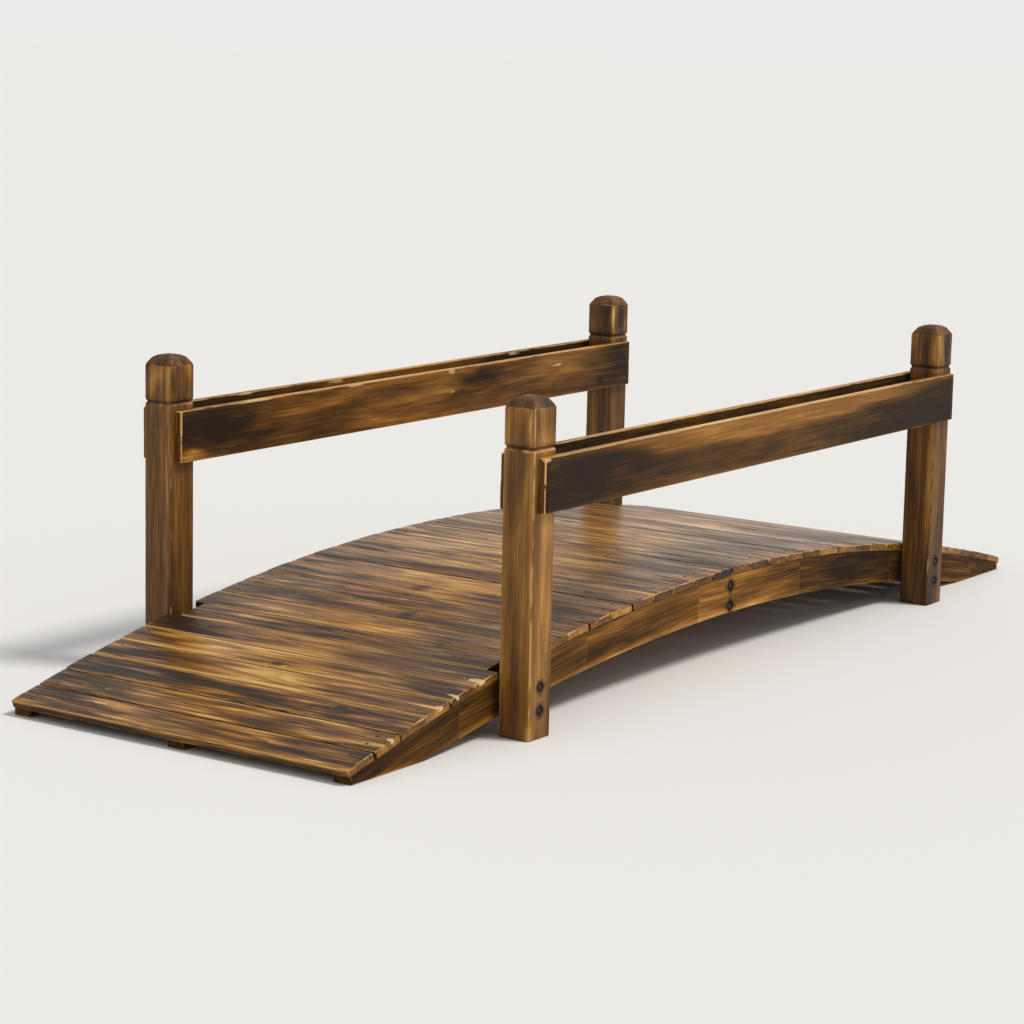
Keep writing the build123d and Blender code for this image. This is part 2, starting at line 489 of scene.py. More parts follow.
def show_torn_chips(tree, colour, chip, pattern, bare):
    """Bare wood where a flake has torn off, with edges that follow the fibres.

    A flake runs from a point at x = -1 to a blunt end at x = 1, and its half width is
    FLAKE_WIDTH * (1 + x) * sqrt(1 - x).
    """
    along = add(tree, "ShaderNodeSeparateXYZ", {0: chip})
    across, guard = along.node.outputs["Y"], along.node.outputs["Z"]
    blunt = add(tree, "ShaderNodeMath", {0: 1.0, 1: along}, operation="SUBTRACT")
    blunt = add(tree, "ShaderNodeMath", {0: blunt}, operation="SQRT")
    half_flake = add(tree, "ShaderNodeMath", {0: along, 1: FLAKE_WIDTH, 2: FLAKE_WIDTH},
                     operation="MULTIPLY_ADD")
    half_flake = add(tree, "ShaderNodeMath", {0: half_flake, 1: blunt}, operation="MULTIPLY")
    beside = add(tree, "ShaderNodeMath", {0: across}, operation="ABSOLUTE")
    beside = add(tree, "ShaderNodeMath", {0: beside, 1: half_flake}, operation="SUBTRACT")
    beyond = add(tree, "ShaderNodeMath", {0: along, 1: 1.0}, operation="SUBTRACT")
    outside = add(tree, "ShaderNodeMath", {0: beside, 1: beyond}, operation="MAXIMUM")
    outside = add(tree, "ShaderNodeMath", {0: outside, 1: guard}, operation="ADD")
    for label, weight in CHIP_NOISE:
        outside = add(tree, "ShaderNodeMath", {0: pattern[label], 1: weight, 2: outside},
                      operation="MULTIPLY_ADD")
    raw = add(tree, "ShaderNodeMapRange", {0: outside, 1: CHIP_FROM, 2: CHIP_TO, 3: 0.0, 4: bare})
    return add(tree, "ShaderNodeMix", {"Factor": raw, 6: colour, 7: linear(RAW_COLOUR)}, out=2,
               data_type="RGBA")


print("under a torn chip:", RAW_COLOUR)

# %% Charred fir
WOOD_IOR = 1.46
# Share of the late wood, against the fibres, in the relief that the brush left.
LATE_WOOD_RELIEF = 0.5
RELIEF_STRENGTH = 0.6
# Toast of sound wood and of char, and how much smoother and duller they are than the wood's own roughness.
SOUND_TOAST, CHAR_TOAST = 0.1, 0.9
SOUND_POLISH, CHAR_DULLNESS = 0.06, 0.18


def charred_fir(name, ring_width, roughness, streaky, cloudy, fibrous, oiled, bare, brushed):
    """Flame-charred, brushed and oiled fir.

    ring_width is in mm. streaky weighs the streaks along the grain, cloudy the flame's soft blots and
    fibrous the finest lines. oiled is the specular level, bare is how pale a torn chip is, and brushed is
    the depth in mm to which the wire brush opened the soft grain.
    """
    material, tree = new_material(name)
    log, knot, chip, look = (add(tree, "ShaderNodeAttribute", out="Vector", attribute_name=attribute)
                             for attribute in ("log", "knot", "chip", "look"))
    toast = add(tree, "ShaderNodeSeparateXYZ", {0: look})
    worn, calm = toast.node.outputs["Y"], toast.node.outputs["Z"]
    weights = {"late wood": streaky, "bands": streaky, "streaks": streaky, "clouds": cloudy,
               "fibres": fibrous}
    pattern = wood_patterns(tree, log, knot, ring_width)
    toast = toasted_grain(tree, toast, calm, pattern, weights)
    colour = add(tree, "ShaderNodeValToRGB", {0: toast})
    colour_stops(colour, TOAST_COLOURS)
    colour = show_worn_arrises(tree, colour, worn, pattern)
    colour = show_torn_chips(tree, colour, chip, pattern, bare)

    relief = add(tree, "ShaderNodeMath", {0: pattern["late wood"], 1: LATE_WOOD_RELIEF, 2: pattern["fibres"]},
                 operation="MULTIPLY_ADD")
    bump = add(tree, "ShaderNodeBump",
               {"Height": relief, "Strength": RELIEF_STRENGTH, "Distance": brushed * mm})
    # Char is porous and soaks up the oil, so it is duller than the sound wood.
    rough = add(tree, "ShaderNodeMapRange", {0: toast, 1: SOUND_TOAST, 2: CHAR_TOAST,
                                             3: roughness - SOUND_POLISH, 4: roughness + CHAR_DULLNESS})
    shader = add(tree, "ShaderNodeBsdfPrincipled",
                 {"Base Color": colour, "Roughness": rough, "IOR": WOOD_IOR, "Specular IOR Level": oiled,
                  "Normal": bump})
    add(tree, "ShaderNodeOutputMaterial", {"Surface": shader})
    return material


print("oiled wood has an IOR of", WOOD_IOR)

# %% Four woods
# The brush went deepest on the boards, and the oil made them the smoothest. The stringers are nearly dry.
deck_fir = charred_fir("charred_fir_deck_boards", 6.0, 0.29, streaky=1.0, cloudy=0.7, fibrous=0.9,
                       oiled=0.26, bare=0.85, brushed=0.40)
post_fir = charred_fir("charred_fir_posts", 5.0, 0.46, streaky=0.40, cloudy=0.2, fibrous=1.3,
                       oiled=0.38, bare=0.6, brushed=0.25)
rail_fir = charred_fir("charred_fir_rail_planks", 6.5, 0.42, streaky=0.44, cloudy=0.32, fibrous=0.7,
                       oiled=0.16, bare=0.7, brushed=0.25)
stringer_fir = charred_fir("charred_fir_stringers", 7.0, 0.48, streaky=0.50, cloudy=0.34, fibrous=0.9,
                           oiled=0.12, bare=0.6, brushed=0.25)
print("four woods from one recipe:", [m.name for m in (deck_fir, post_fir, rail_fir, stringer_fir)])

# %% [markdown]
# ## Reading a board's place from the frame
#
# A deck board lies tilted on the arc. Its outline in the XZ plane is symmetric about its own middle, so the
# main axis of that outline's points is exactly the board's direction across its width. That gives the board's
# middle, its tilt and its size, with no number copied by hand.

# %% Places of the boards
def vertices_mm(node):
    """A node's points in millimetres."""
    mesh = nodes[node].data
    flat = np.empty(len(mesh.vertices) * 3)
    mesh.vertices.foreach_get("co", flat)
    return flat.reshape(-1, 3) / mm


def tilted_box(node):
    """Middle, directions (along Y, across, up) and half sizes of a board that is turned about Y only."""
    points = vertices_mm(node)
    outline = np.unique(np.round(points[:, [0, 2]], 2), axis=0)
    _, axes = np.linalg.eigh(np.cov((outline - outline.mean(0)).T))
    across = axes[:, 1] * np.sign(axes[0, 1])
    up = np.array([-across[1], across[0]])
    reach_across, reach_up = points[:, [0, 2]] @ across, points[:, [0, 2]] @ up
    middle = ((reach_across.min() + reach_across.max()) / 2 * across
              + (reach_up.min() + reach_up.max()) / 2 * up)
    halves = (np.ptp(points[:, 1]) / 2, np.ptp(reach_across) / 2, np.ptp(reach_up) / 2)
    directions = np.array([[0, 1, 0], [across[0], 0, across[1]], [up[0], 0, up[1]]])
    return np.array([middle[0], 0, middle[1]]), directions, halves


def box_mm(node):
    """Middle and half sizes of a node's box in millimetres."""
    low, high = (np.array(corner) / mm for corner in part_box(node))
    return (low + high) / 2, (high - low) / 2


board_names = sorted(name for name in nodes if name.startswith("deck_board"))
board_places = {name: tilted_box(name) for name in board_names}
print(len(board_names), "boards; the first has half sizes", np.round(board_places[board_names[0]][2], 2))

# %% [markdown]
# ## The deck boards
#
# Each board is its own timber with its own log, torch marks and edges. The torch always caught the ends, and
# the boards near the foot of the bridge are golden in their middles. For the thirteen boards that show best,
# the toast is listed at a few places along the board, and the others follow the same habit by chance.
# The long upper edges are worn pale and golden, board by board, and the side faces in the gaps are darkened
# with painted shade, so a gap reads as a dark line with a pale one beside it. The knots and torn chips that
# stand out are listed too, in millimetres from the middle of a board.

# %% Torch marks on the boards
# Toast at places along each board, from the front end at -360 mm to the back end at 360 mm.
TORCH_PLACES = (-360, -290, -210, -120, 0, 120, 200, 280, 360)
BOARD_TORCH = {1: (0.76, 0.70, 0.56, 0.48, 0.46, 0.54, 0.60, 0.70, 0.58),
               2: (0.64, 0.54, 0.48, 0.50, 0.47, 0.52, 0.68, 0.82, 0.78),
               3: (0.62, 0.66, 0.60, 0.58, 0.66, 0.66, 0.70, 0.80, 0.84),
               4: (0.66, 0.68, 0.52, 0.33, 0.23, 0.22, 0.40, 0.72, 0.80),
               5: (0.66, 0.60, 0.48, 0.30, 0.17, 0.10, 0.28, 0.46, 0.62),
               6: (0.64, 0.64, 0.48, 0.38, 0.34, 0.38, 0.56, 0.82, 0.94),
               7: (0.62, 0.60, 0.55, 0.54, 0.66, 0.76, 0.68, 0.60, 0.66),
               8: (0.48, 0.50, 0.46, 0.38, 0.30, 0.34, 0.46, 0.60, 0.62),
               9: (0.52, 0.54, 0.60, 0.62, 0.46, 0.62, 0.72, 0.72, 0.70),
               10: (0.60, 0.58, 0.52, 0.50, 0.48, 0.54, 0.58, 0.60, 0.58),
               11: (0.72, 0.84, 0.70, 0.60, 0.40, 0.42, 0.56, 0.62, 0.64),
               12: (0.52, 0.48, 0.44, 0.32, 0.24, 0.32, 0.48, 0.58, 0.56),
               13: (0.58, 0.56, 0.60, 0.62, 0.54, 0.60, 0.64, 0.62, 0.58)}
# How pale and golden the two long edges are, as (outer edge, crest edge).
BOARD_EDGES = {1: (0.5, 0.3), 2: (0.2, 0.5), 3: (0.4, 0.8), 4: (1.0, 0.6), 5: (0.8, 1.0), 6: (0.7, 0.4),
               7: (0.8, 1.0), 8: (0.5, 0.7), 9: (0.4, 0.4), 10: (0.5, 0.3), 11: (0.3, 0.8), 12: (0.5, 0.4),
               13: (0.2, 0.9), 14: (1.0, 0.2)}
# Knots as board: (along, across, half length, half width).
BOARD_KNOTS = {3: [(-205, 12, 12, 8)], 5: [(14, -17, 15, 10)], 6: [(312, 6, 28, 22)],
               9: [(-43, 4, 18, 22)], 11: [(30, 4, 23, 24)], 13: [(-250, -8, 13, 9)],
               16: [(-120, 6, 14, 10)], 21: [(160, -10, 17, 12)], 24: [(-290, 0, 12, 9)],
               27: [(-60, 12, 16, 12)], 30: [(90, 2, 18, 13)], 33: [(210, -6, 15, 10)]}
# Torn chips as board: (along, across, half length, half width), where a half length below 0 turns the
# point to the back.
BOARD_CHIPS = {1: [(196, 14, 22, 2)], 2: [(222, -6, 26, 2), (-357, 12, -11, 5)], 4: [(-357, 9, -12, 6)],
               5: [(-354, -14, -24, 5)], 6: [(-350, -12, -36, 11)], 29: [(348, 12, 34, 10)]}
# Toast of the front end faces, for the boards where they show.
FRONT_END_TONES = {1: 0.50, 2: 0.34, 3: 0.48, 4: 0.32, 5: 0.62, 6: 0.38, 7: 0.95, 8: 0.66, 9: 0.45, 10: 0.28,
                   11: 0.50, 12: 0.26, 13: 0.48, 14: 0.70, 15: 0.56, 16: 0.66, 17: 1.0, 18: 0.50, 19: 0.72,
                   20: 0.56, 21: 0.45, 22: 0.66}
# Toast of the other end faces, drawn by chance.
END_TONES = (0.28, 0.40, 0.46, 0.55, 0.62, 0.85)
END_CALM = 0.5
# Boards up to LIVELY_UNTIL and from LIVELY_FROM on are a fifth livelier than the boards between them.
LIVELY_UNTIL, LIVELY_FROM = 5, 14
LIVELY_CALM = -0.2

print(len(BOARD_TORCH), "boards have torch marks set by hand")

# %% Fields of toast
# How far a border of char wanders in mm, and its waves along and across the grain.
BORDER_WANDER, BORDER_WAVES = 24, (240, 60)
# How ragged a patch's border is, the half width from which it is fully so, and its waves.
PATCH_RAGGED, PATCH_WIDE, PATCH_WAVES = 0.30, 12, (90, 9)
# Toast that chance gives the middle and the ends of a board, and the share of the ends' toast at each place.
CHANCE_MIDDLE, CHANCE_END = (0.22, 0.54), (0.46, 0.76)
END_REACH = (1, 0.8, 0.45, 0.1, 0, 0.1, 0.45, 0.8, 1)
REACH_SWING = (0.6, 1.1)


def torch_field(along, across, places, tones, rng, swing=0.06):
    """Toast over a face: the tones set along the timber, with borders that wander, and a slow drift."""
    shifted = along + BORDER_WANDER * drift(along, across, rng, *BORDER_WAVES)
    return np.interp(shifted, places, tones) + swing * drift(along, across, rng)


def patches(along, around, marks, rng):
    """Soft patches on a timber, as (along, around, half length, half width, change of toast).

    Each change is scaled by exp(-d ** 2), where d is the distance from its middle in half sizes. Its border
    is ragged along the grain, and less so where the patch is narrow.
    """
    total = np.zeros(along.shape)
    for mark_along, mark_around, long, wide, change in marks:
        ragged = PATCH_RAGGED * min(1, wide / PATCH_WIDE) * drift(along, around, rng, *PATCH_WAVES)
        away = np.hypot((along - mark_along) / long, (around - mark_around) / wide) + ragged
        total += change * np.exp(-np.maximum(away, 0) ** 2)
    return total


def chance_torch(rng):
    """Toast along a board that isn't set by hand: charred ends, a lighter middle and a tone of its own."""
    tone = rng.uniform(*CHANCE_MIDDLE)
    ends = rng.uniform(*CHANCE_END, 2)
    share = np.array(END_REACH) * rng.uniform(*REACH_SWING, len(END_REACH))
    target = np.where(np.array(TORCH_PLACES) < 0, ends[0], ends[1])
    return tone + (target - tone) * np.clip(share, 0, 1)


print("a board by chance:", np.round(chance_torch(np.random.default_rng(3)), 2))

# %% Look of a board
BOARD_ROUND = 2.0
# How far the gold and the pale wear reach from a long upper edge, in mm, and how strong they are there.
GOLDEN_REACH, GOLDEN_CHANGE = 5.0, 0.44
PALE_REACH, PALE_WEAR = 3.2, 0.42
# Toast of the side faces in the gaps: painted shade, for the shade down in a gap.
GAP_SHADE_TONE = 0.80
# The underside is even: of what the toast has over its mean it keeps a share.
UNDER_TONE, UNDER_SHARE, MEAN_TONE = 0.45, 0.3, 0.4
# Share of the arrises' wear that is kept at the ends, along a plain side, and added along a golden one.
END_ARRIS, PLAIN_ARRIS, GOLDEN_ARRIS = 0.62, 0.64, 0.85
# How pale and golden chance makes an edge that isn't set by hand.
CHANCE_EDGES = (0.1, 1.0)
# Slack in mm, for telling which points lie on an end face, on the underside or on a side.
END_SLACK, UNDER_SLACK, SIDE_SLACK = 0.2, 0.5, 0.05


def board_look(number, points, wear, end, half_b, half_c, on_right, rng):
    """Toast, wear and calm of a board's points, where end is how far off its end faces lie.

    Gold and pale wear fade from a long upper edge as exp(-(distance / reach) ** 2).
    """
    a, b, c = np.moveaxis(points, -1, 0)
    tones = BOARD_TORCH.get(number, chance_torch(rng))
    toast = torch_field(a, b, TORCH_PLACES, tones, rng)
    outer, crest = BOARD_EDGES.get(number, rng.uniform(*CHANCE_EDGES, 2))
    if on_right:
        outer, crest = crest, outer
    edge = np.where(b > 0, crest, outer)
    from_edge = half_b - np.abs(b)
    toast -= GOLDEN_CHANGE * edge * np.exp(-(from_edge / GOLDEN_REACH) ** 2) * (c > half_c / 2)
    wear = wear + PALE_WEAR * edge * np.exp(-(from_edge / PALE_REACH) ** 2) * (c > 0)

    toast = np.where(c < UNDER_SLACK - half_c, UNDER_TONE + UNDER_SHARE * (toast - MEAN_TONE), toast)
    outermost = {1: b < 0, len(board_names): b > 0}.get(number, np.zeros(b.shape, bool))
    # Painted shade: the side faces in the gaps take one dark toast, for the shade between the boards.
    in_gap = (np.abs(c) < half_c - BOARD_ROUND + SIDE_SLACK) & ~outermost
    toast = np.where(in_gap, GAP_SHADE_TONE, toast)

    end_face = np.abs(a) > end - END_SLACK
    back_tone, front_tone = rng.choice(END_TONES, 2)
    end_tone = np.where(a > 0, back_tone, FRONT_END_TONES.get(number, front_tone))
    toast = np.where(end_face, end_tone, toast)
    wear = wear * np.where(np.abs(a) > end - BOARD_ROUND, END_ARRIS, PLAIN_ARRIS + GOLDEN_ARRIS * edge)
    lively = number <= LIVELY_UNTIL or number >= LIVELY_FROM
    return toast, wear, np.where(end_face, END_CALM, LIVELY_CALM if lively else 0.0)


print("gold reaches", GOLDEN_REACH, "mm from a board's edge")

# %% Chips pressed into a board
CHIP_DEPTH = 1.6
# Rows through a chip in its half lengths, and the distances from its outline between which its wall rises.
CHIP_ROWS = (-1.2, -0.8, -0.4, 0, 0.4, 0.8, 1.1)
CHIP_WALL = (-0.5, 0.1)


def press_chips(points, chips):
    """Lower the top face inside each flake, whose half width at x is FLAKE_WIDTH * (1 + x) * sqrt(1 - x)."""
    for along, across, long, wide in chips:
        x, beside = (points[..., 0] - along) / long, np.abs(points[..., 1] - across) / wide
        half_flake = FLAKE_WIDTH * (1 + x) * np.sqrt(np.maximum(1 - x, 0))
        outside = np.maximum(beside - half_flake, x - 1)
        points[..., 2] -= CHIP_DEPTH * (1 - smoothstep(*CHIP_WALL, outside)) * (points[..., 2] > 0)


print("a chip is", CHIP_DEPTH, "mm deep and has", len(CHIP_ROWS), "rows of its own")

# %% Deck boards
# Spacing of a board's rows, how much its top is crowned, and the most that an arris wears in, in mm.
BOARD_STEP = 13
BOARD_CROWN = 0.45
ARRIS_DEPTH = 1.3
# The most that chance takes off a board's ends, sides and top, in mm.
END_TRIM, SIDE_TRIM, TOP_DROP = 1.2, 0.7, 0.5
# Each timber comes, by chance, from somewhere along a log this long. The pith is above a board and outside
# it, so its face cuts the rings at a low angle.
LOG_LENGTH = 9000
BOARD_PITH_ASIDE, BOARD_PITH_ABOVE = 26, (30, 95)


def board_object(number, name):
    """One deck board: a along Y, b across it and c up. Its top is crowned by (b / half width) ** 2."""
    rng = np.random.default_rng(100 + number)
    middle, directions, (half_a, half_b, half_c) = board_places[name]
    chips = BOARD_CHIPS.get(number, [])
    chip_rows = [along + long * share for along, _, long, _ in chips for share in CHIP_ROWS]
    end = half_a - rng.uniform(0, END_TRIM)
    side = half_b - rng.uniform(0, SIDE_TRIM)
    drop = rng.uniform(0, TOP_DROP)
    points, wear = timber(end, side, half_c, BOARD_ROUND, BOARD_STEP, steps_b=9, extra_a=chip_rows)
    points, wear = soften_arrises(points, wear, rng, ARRIS_DEPTH)
    look = board_look(number, points, wear, end, half_b, half_c, middle[0] > 0, rng)
    points[..., 2] -= (BOARD_CROWN * (points[..., 1] / half_b) ** 2 + drop) * (points[..., 2] > 0)
    press_chips(points, chips)
    pith = (rng.uniform(0, LOG_LENGTH), rng.uniform(-BOARD_PITH_ASIDE, BOARD_PITH_ASIDE),
            -rng.uniform(*BOARD_PITH_ABOVE))
    made = wood_object(name + "_wood", deck_fir, points, middle + points @ directions, look, pith,
                       BOARD_KNOTS.get(number), chips, off_face=points[..., 2] < 0)
    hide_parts(name)
    return made


boards = [board_object(number, name) for number, name in enumerate(board_names, 1)]
print(len(boards), "boards,", sum(len(board.data.polygons) for board in boards), "faces")

# %% [markdown]
# ## Nails
#
# Two nails hold each board to each outer stringer. The torch came after the nailing, so their heads are dark
# oxide. The same low dome is repeated 136 times, so it has few faces, and all the heads are one mesh.

# %% Blackened steel
# Size of the oxide's mottle, and its relief, in mm.
OXIDE_MOTTLE = 4
OXIDE_RELIEF = 0.2


def dark_steel(name, dark, light, roughness):
    """Mild steel that fire and weather have blackened: dull, with a mottled oxide."""
    material, tree = new_material(name)
    place = add(tree, "ShaderNodeTexCoord", out="Object")
    oxide = add(tree, "ShaderNodeTexNoise",
                {"Vector": place, "Scale": 1 / (OXIDE_MOTTLE * mm), "Detail": 3.0})
    tone = add(tree, "ShaderNodeValToRGB", {0: oxide})
    colour_stops(tone, ((0.3, dark), (0.7, light)))
    bump = add(tree, "ShaderNodeBump", {"Height": oxide, "Strength": 0.4, "Distance": OXIDE_RELIEF * mm})
    rough = add(tree, "ShaderNodeMapRange", {0: oxide, 3: roughness - 0.1, 4: roughness + 0.1})
    shader = add(tree, "ShaderNodeBsdfPrincipled",
                 {"Base Color": tone, "Roughness": rough, "Metallic": 0.7, "Normal": bump})
    add(tree, "ShaderNodeOutputMaterial", {"Surface": shader})
    return material


nail_steel = dark_steel("blackened_steel_nails", "#181513", "#3a332d", 0.55)
bolt_steel = dark_steel("blackened_steel_bolts", "#241f1b", "#4c4238", 0.6)
print("two steels:", nail_steel.name, bolt_steel.name)

# %% Nail heads
# How far the nails are from the bridge's mid-plane, and from each other, in mm.
NAIL_LINE = 329
NAIL_SPACING = 28
# A head's radius, the rise of its dome, its short wall, and how deep it sits.
NAIL_RADIUS = 3.2
NAIL_RISE = 0.5
NAIL_WALL = 0.8
NAIL_SINK = 0.6


def dome(radius, rise, wall, sides=12):
    """A low closed dome as rings: a short wall below, then rings that flatten towards the top."""
    turn = np.arange(sides) * 2 * np.pi / sides
    rings = ((radius, -wall), (radius, 0.1 * rise), (0.85 * radius, 0.7 * rise), (0.45 * radius, rise))
    return np.array([stack(r * np.cos(turn), r * np.sin(turn), z) for r, z in rings])


nail_skins = []
for name in board_names:
    middle, directions, (half_a, half_b, half_c) = board_places[name]
    for end in (-1, 1):
        for side in (-1, 1):
            seat = np.array([end * NAIL_LINE, side * NAIL_SPACING / 2, half_c - NAIL_SINK])
            nail_skins.append(skin(middle + (dome(NAIL_RADIUS, NAIL_RISE, NAIL_WALL) + seat) @ directions))
nails = mesh_object("deck_nails", nail_skins, nail_steel)
print(len(nail_skins), "nail heads,", len(nails.data.polygons), "faces")

# %% [markdown]
# ## Counterbores in a grid of squares
#
# The bolts sit in round counterbores. A grid of squares can hold a round hole without cutting a face: inside
# the hole's square each point moves so that the squares around the middle become circles, and the move fades
# out further off. The grid needs lines at the rim and just outside it, and the points inside the rim are
# pushed in by the depth.

# %% Counterbores
# Radius, depth and width of the wall in mm, and how far out points move, in radii.
BORE_RADIUS = 7.5
BORE_DEPTH = 5
BORE_WALL = 0.4
BORE_ZONE = 1.5
# Soot around a counterbore: its toast, and the distances from the middle, in radii, over which it fades.
BORE_SOOT = 0.60
SOOT_FROM, SOOT_TO = 1.05, 2.1


def bore_lines(place):
    """Grid lines around one counterbore's middle."""
    steps = (0, BORE_RADIUS / 2, BORE_RADIUS, BORE_RADIUS + BORE_WALL, 1.25 * BORE_RADIUS,
             BORE_ZONE * BORE_RADIUS)
    return [place + sign * step for step in steps for sign in (-1, 1)]


def bore(points, toast, face, middle_a, middle_b):
    """Press a round counterbore into the face of a timber, where face is -1 or 1 on the c axis.

    The distance from the middle counted in squares is max(|a|, |b|), and the true distance is
    hypot(a, b), so scaling a point by their ratio turns squares to circles. The scale fades to 1 at the
    zone's edge.
    """
    a, b = points[..., 0] - middle_a, points[..., 1] - middle_b
    on_face = np.sign(points[..., 2]) == face
    squares = np.maximum(np.abs(a), np.abs(b))
    true = np.maximum(np.hypot(a, b), 1e-6)
    fade = np.clip((BORE_ZONE - squares / BORE_RADIUS) / (BORE_ZONE - 1), 0, 1)
    scale = np.where(on_face, 1 + (squares / true - 1) * fade, 1.0)
    inside = on_face & (squares < BORE_RADIUS + BORE_WALL / 2)
    bored = points.copy()
    bored[..., 0] = middle_a + a * scale
    bored[..., 1] = middle_b + b * scale
    bored[..., 2] = np.where(inside, points[..., 2] - face * BORE_DEPTH, points[..., 2])
    soot = BORE_SOOT * (1 - smoothstep(SOOT_FROM, SOOT_TO, true / BORE_RADIUS))
    return bored, np.where(on_face, toast + soot, toast)


print("a counterbore of", 2 * BORE_RADIUS, "mm uses", len(set(bore_lines(0))), "grid lines each way")

# %% [markdown]
# ## The posts
#
# A post is 62 mm square, with a groove all round below its head and a bevelled cap with a low crown. The
# shaft, the groove and the cap are all one loft, because the ring of columns can move in and out from row to
# row. Two bolts through its foot hold it to the stringer. The four posts differ in tone, in wear and in how
# lively their grain is, and the knots and the soft patches of gold and soot are listed, in
# millimetres up a post and around it.

# %% Measures and marks of the posts
# Radius of the arrises, the groove, the bevel and the crown of the cap, and the heights of the bolts, in mm.
POST_ROUND = 3.0
GROOVE_HEIGHT, GROOVE_HALF, GROOVE_DEPTH = 486, 4.5, 3
CAP_RISE, CROWN_RISE, CAP_RUN = 13.5, 4.5, 9.5
FOOT_BOLTS = (48, 88)
# Name, seed, tone, how worn the arrises are, how calm the grain is, and the side of its bolt heads.
POSTS = (("post_front_left", 301, 0.42, 1.0, 0.42, -1), ("post_front_right", 302, 0.53, 0.6, 0.1, -1),
         ("post_back_left", 303, 0.54, 0.7, 0.0, 1), ("post_back_right", 304, 0.56, 0.85, 0.1, 1))
# Marks as (height, place around, half length, half width). The place runs from the middle of the front face,
# through -31 at its left arris and 31 at its right one.
POST_KNOTS = {"post_front_left": [(298, 70, 10, 7)], "post_front_right": [(250, 128, 11, 8)],
              "post_back_left": [(196, 58, 11, 8)], "post_back_right": [(408, 12, 11, 8)]}
# Patches in the same terms, with the change of toast: gold where the brush reached pale wood, and soot.
POST_PATCHES = {
    "post_front_left": [(526, 0, 36, 60, 0.12), (528, -40, 24, 7, -0.46), (300, -34, 160, 3.2, -0.34),
                        (8, -31, 26, 9, -0.36),
                        (420, -62, 60, 14, 0.16), (120, -70, 90, 12, 0.14), (330, 6, 190, 22, -0.08)],
    "post_front_right": [(300, -38, 170, 5, -0.40), (525, 10, 30, 9, 0.30), (530, -60, 30, 8, 0.24),
                         (528, -4, 30, 4, -0.16)],
    "post_back_left": [(528, -38, 26, 5, -0.34), (526, -24, 28, 3, 0.40), (330, -40, 200, 4, -0.30),
                       (520, -72, 30, 9, -0.20), (60, -10, 60, 20, 0.14)],
    "post_back_right": [(524, -28, 26, 5, -0.55), (524, -52, 30, 12, 0.26), (524, 0, 30, 12, 0.26),
                        (270, -70, 130, 8, -0.28)]}

print("patches on each post:", [len(marks) for marks in POST_PATCHES.values()])

# %% Rows of a post
SHAFT_START, SHAFT_STEP, SHAFT_CLEAR = 6, 12.0, 3
# Rows beside the groove's middle, in its half widths.
GROOVE_SHARES = (0, 0.5, 0.92, 1.1)
# How far below the middle its lip is worn, in half widths, and how far the wear reaches, in mm. The pale lip
# is partly wear and partly a painted highlight, for the light that the upward-facing lip catches.
LIP_BELOW, LIP_REACH = 0.8, 2.0
# Rows as (height, inset, share of the ring kept, wear). The foot's are above the floor, the bevel's above the
# shoulder, and the crown's below the top.
FOOT_ROWS = ((0, 3, 0.3, 0), (0, 3, 0.65, 0), (0, 3, 1, 0), (0, 1, 1, 0.4), (0.8, 0.2, 1, 0.5),
             (2.2, 0, 1, 0.1))
SLOPE = CAP_RUN / CAP_RISE
BEVEL_ROWS = ((-2.5, 0, 1, 0.2), (-0.4, 0.4, 1, 0.6), (1, 1.2, 1, 0.6), (2.5, 2.5 * SLOPE, 1, 0.2),
              (7, 7 * SLOPE, 1, 0), (12, 12 * SLOPE, 1, 0.1), (CAP_RISE, CAP_RUN + 0.6, 1, 0.3))
CROWN_ROWS = ((-3.2, CAP_RUN + 3.2, 1, 0.1), (-1.3, CAP_RUN + 7, 1, 0), (-0.3, 21, 1, 0), (0, 26, 1, 0))


def post_rows(height):
    """Rows of a post from foot to crown, as place, inset, share kept and wear, and its shoulder's height.

    In the groove the inset falls in a straight line from its depth at the middle to 0 at its edges.
    """
    shoulder = height - CAP_RISE - CROWN_RISE
    bolt_rows = [line for foot in FOOT_BOLTS for line in bore_lines(foot)]
    groove_rows = [GROOVE_HEIGHT + side * GROOVE_HALF * share for side in (-1, 1) for share in GROOVE_SHARES]
    shaft = np.concatenate([np.arange(SHAFT_START, shoulder, SHAFT_STEP), bolt_rows, groove_rows])
    shaft = np.unique(np.round(shaft[shaft < shoulder - SHAFT_CLEAR], 3))
    in_groove = np.clip(1 - np.abs(shaft - GROOVE_HEIGHT) / GROOVE_HALF, 0, 1)
    # Wear on the lower lip only: partly real wear, partly a painted highlight where the lip faces the light.
    lip = np.exp(-((shaft - GROOVE_HEIGHT + LIP_BELOW * GROOVE_HALF) / LIP_REACH) ** 2)
    body = stack(shaft, in_groove * GROOVE_DEPTH, 1.0, lip)
    bevel = np.array(BEVEL_ROWS) + [shoulder, 0, 0, 0]
    crown = np.array(CROWN_ROWS) + [height, 0, 0, 0]
    return np.concatenate([FOOT_ROWS, body, bevel, crown]).T, shoulder


print("a post of 570 mm has", post_rows(570)[0].shape[1], "rows")

# %% Toast on a post
SHOULDER_SLACK = 0.5
# Toast: a slow drift, soot at the foot that fades upwards, blots on the head that begin between two depths
# below the shoulder, the cap's own tone, and painted shade a little above the groove's middle, where the
# groove's upper edge shades it.
POST_DRIFT, POST_WAVES = 0.07, (700, 70)
FOOT_SOOT, FOOT_SOOT_TOP = 0.16, 110
HEAD_DRIFT, HEAD_WAVES, HEAD_BELOW = 0.10, (120, 60), (110, 20)
CAP_TONE, CAP_DRIFT, CAP_WAVES = 0.62, 0.10, (50, 50)
GROOVE_SHADE, GROOVE_SHADE_ABOVE, GROOVE_SHADE_REACH = 0.34, 0.3, 3


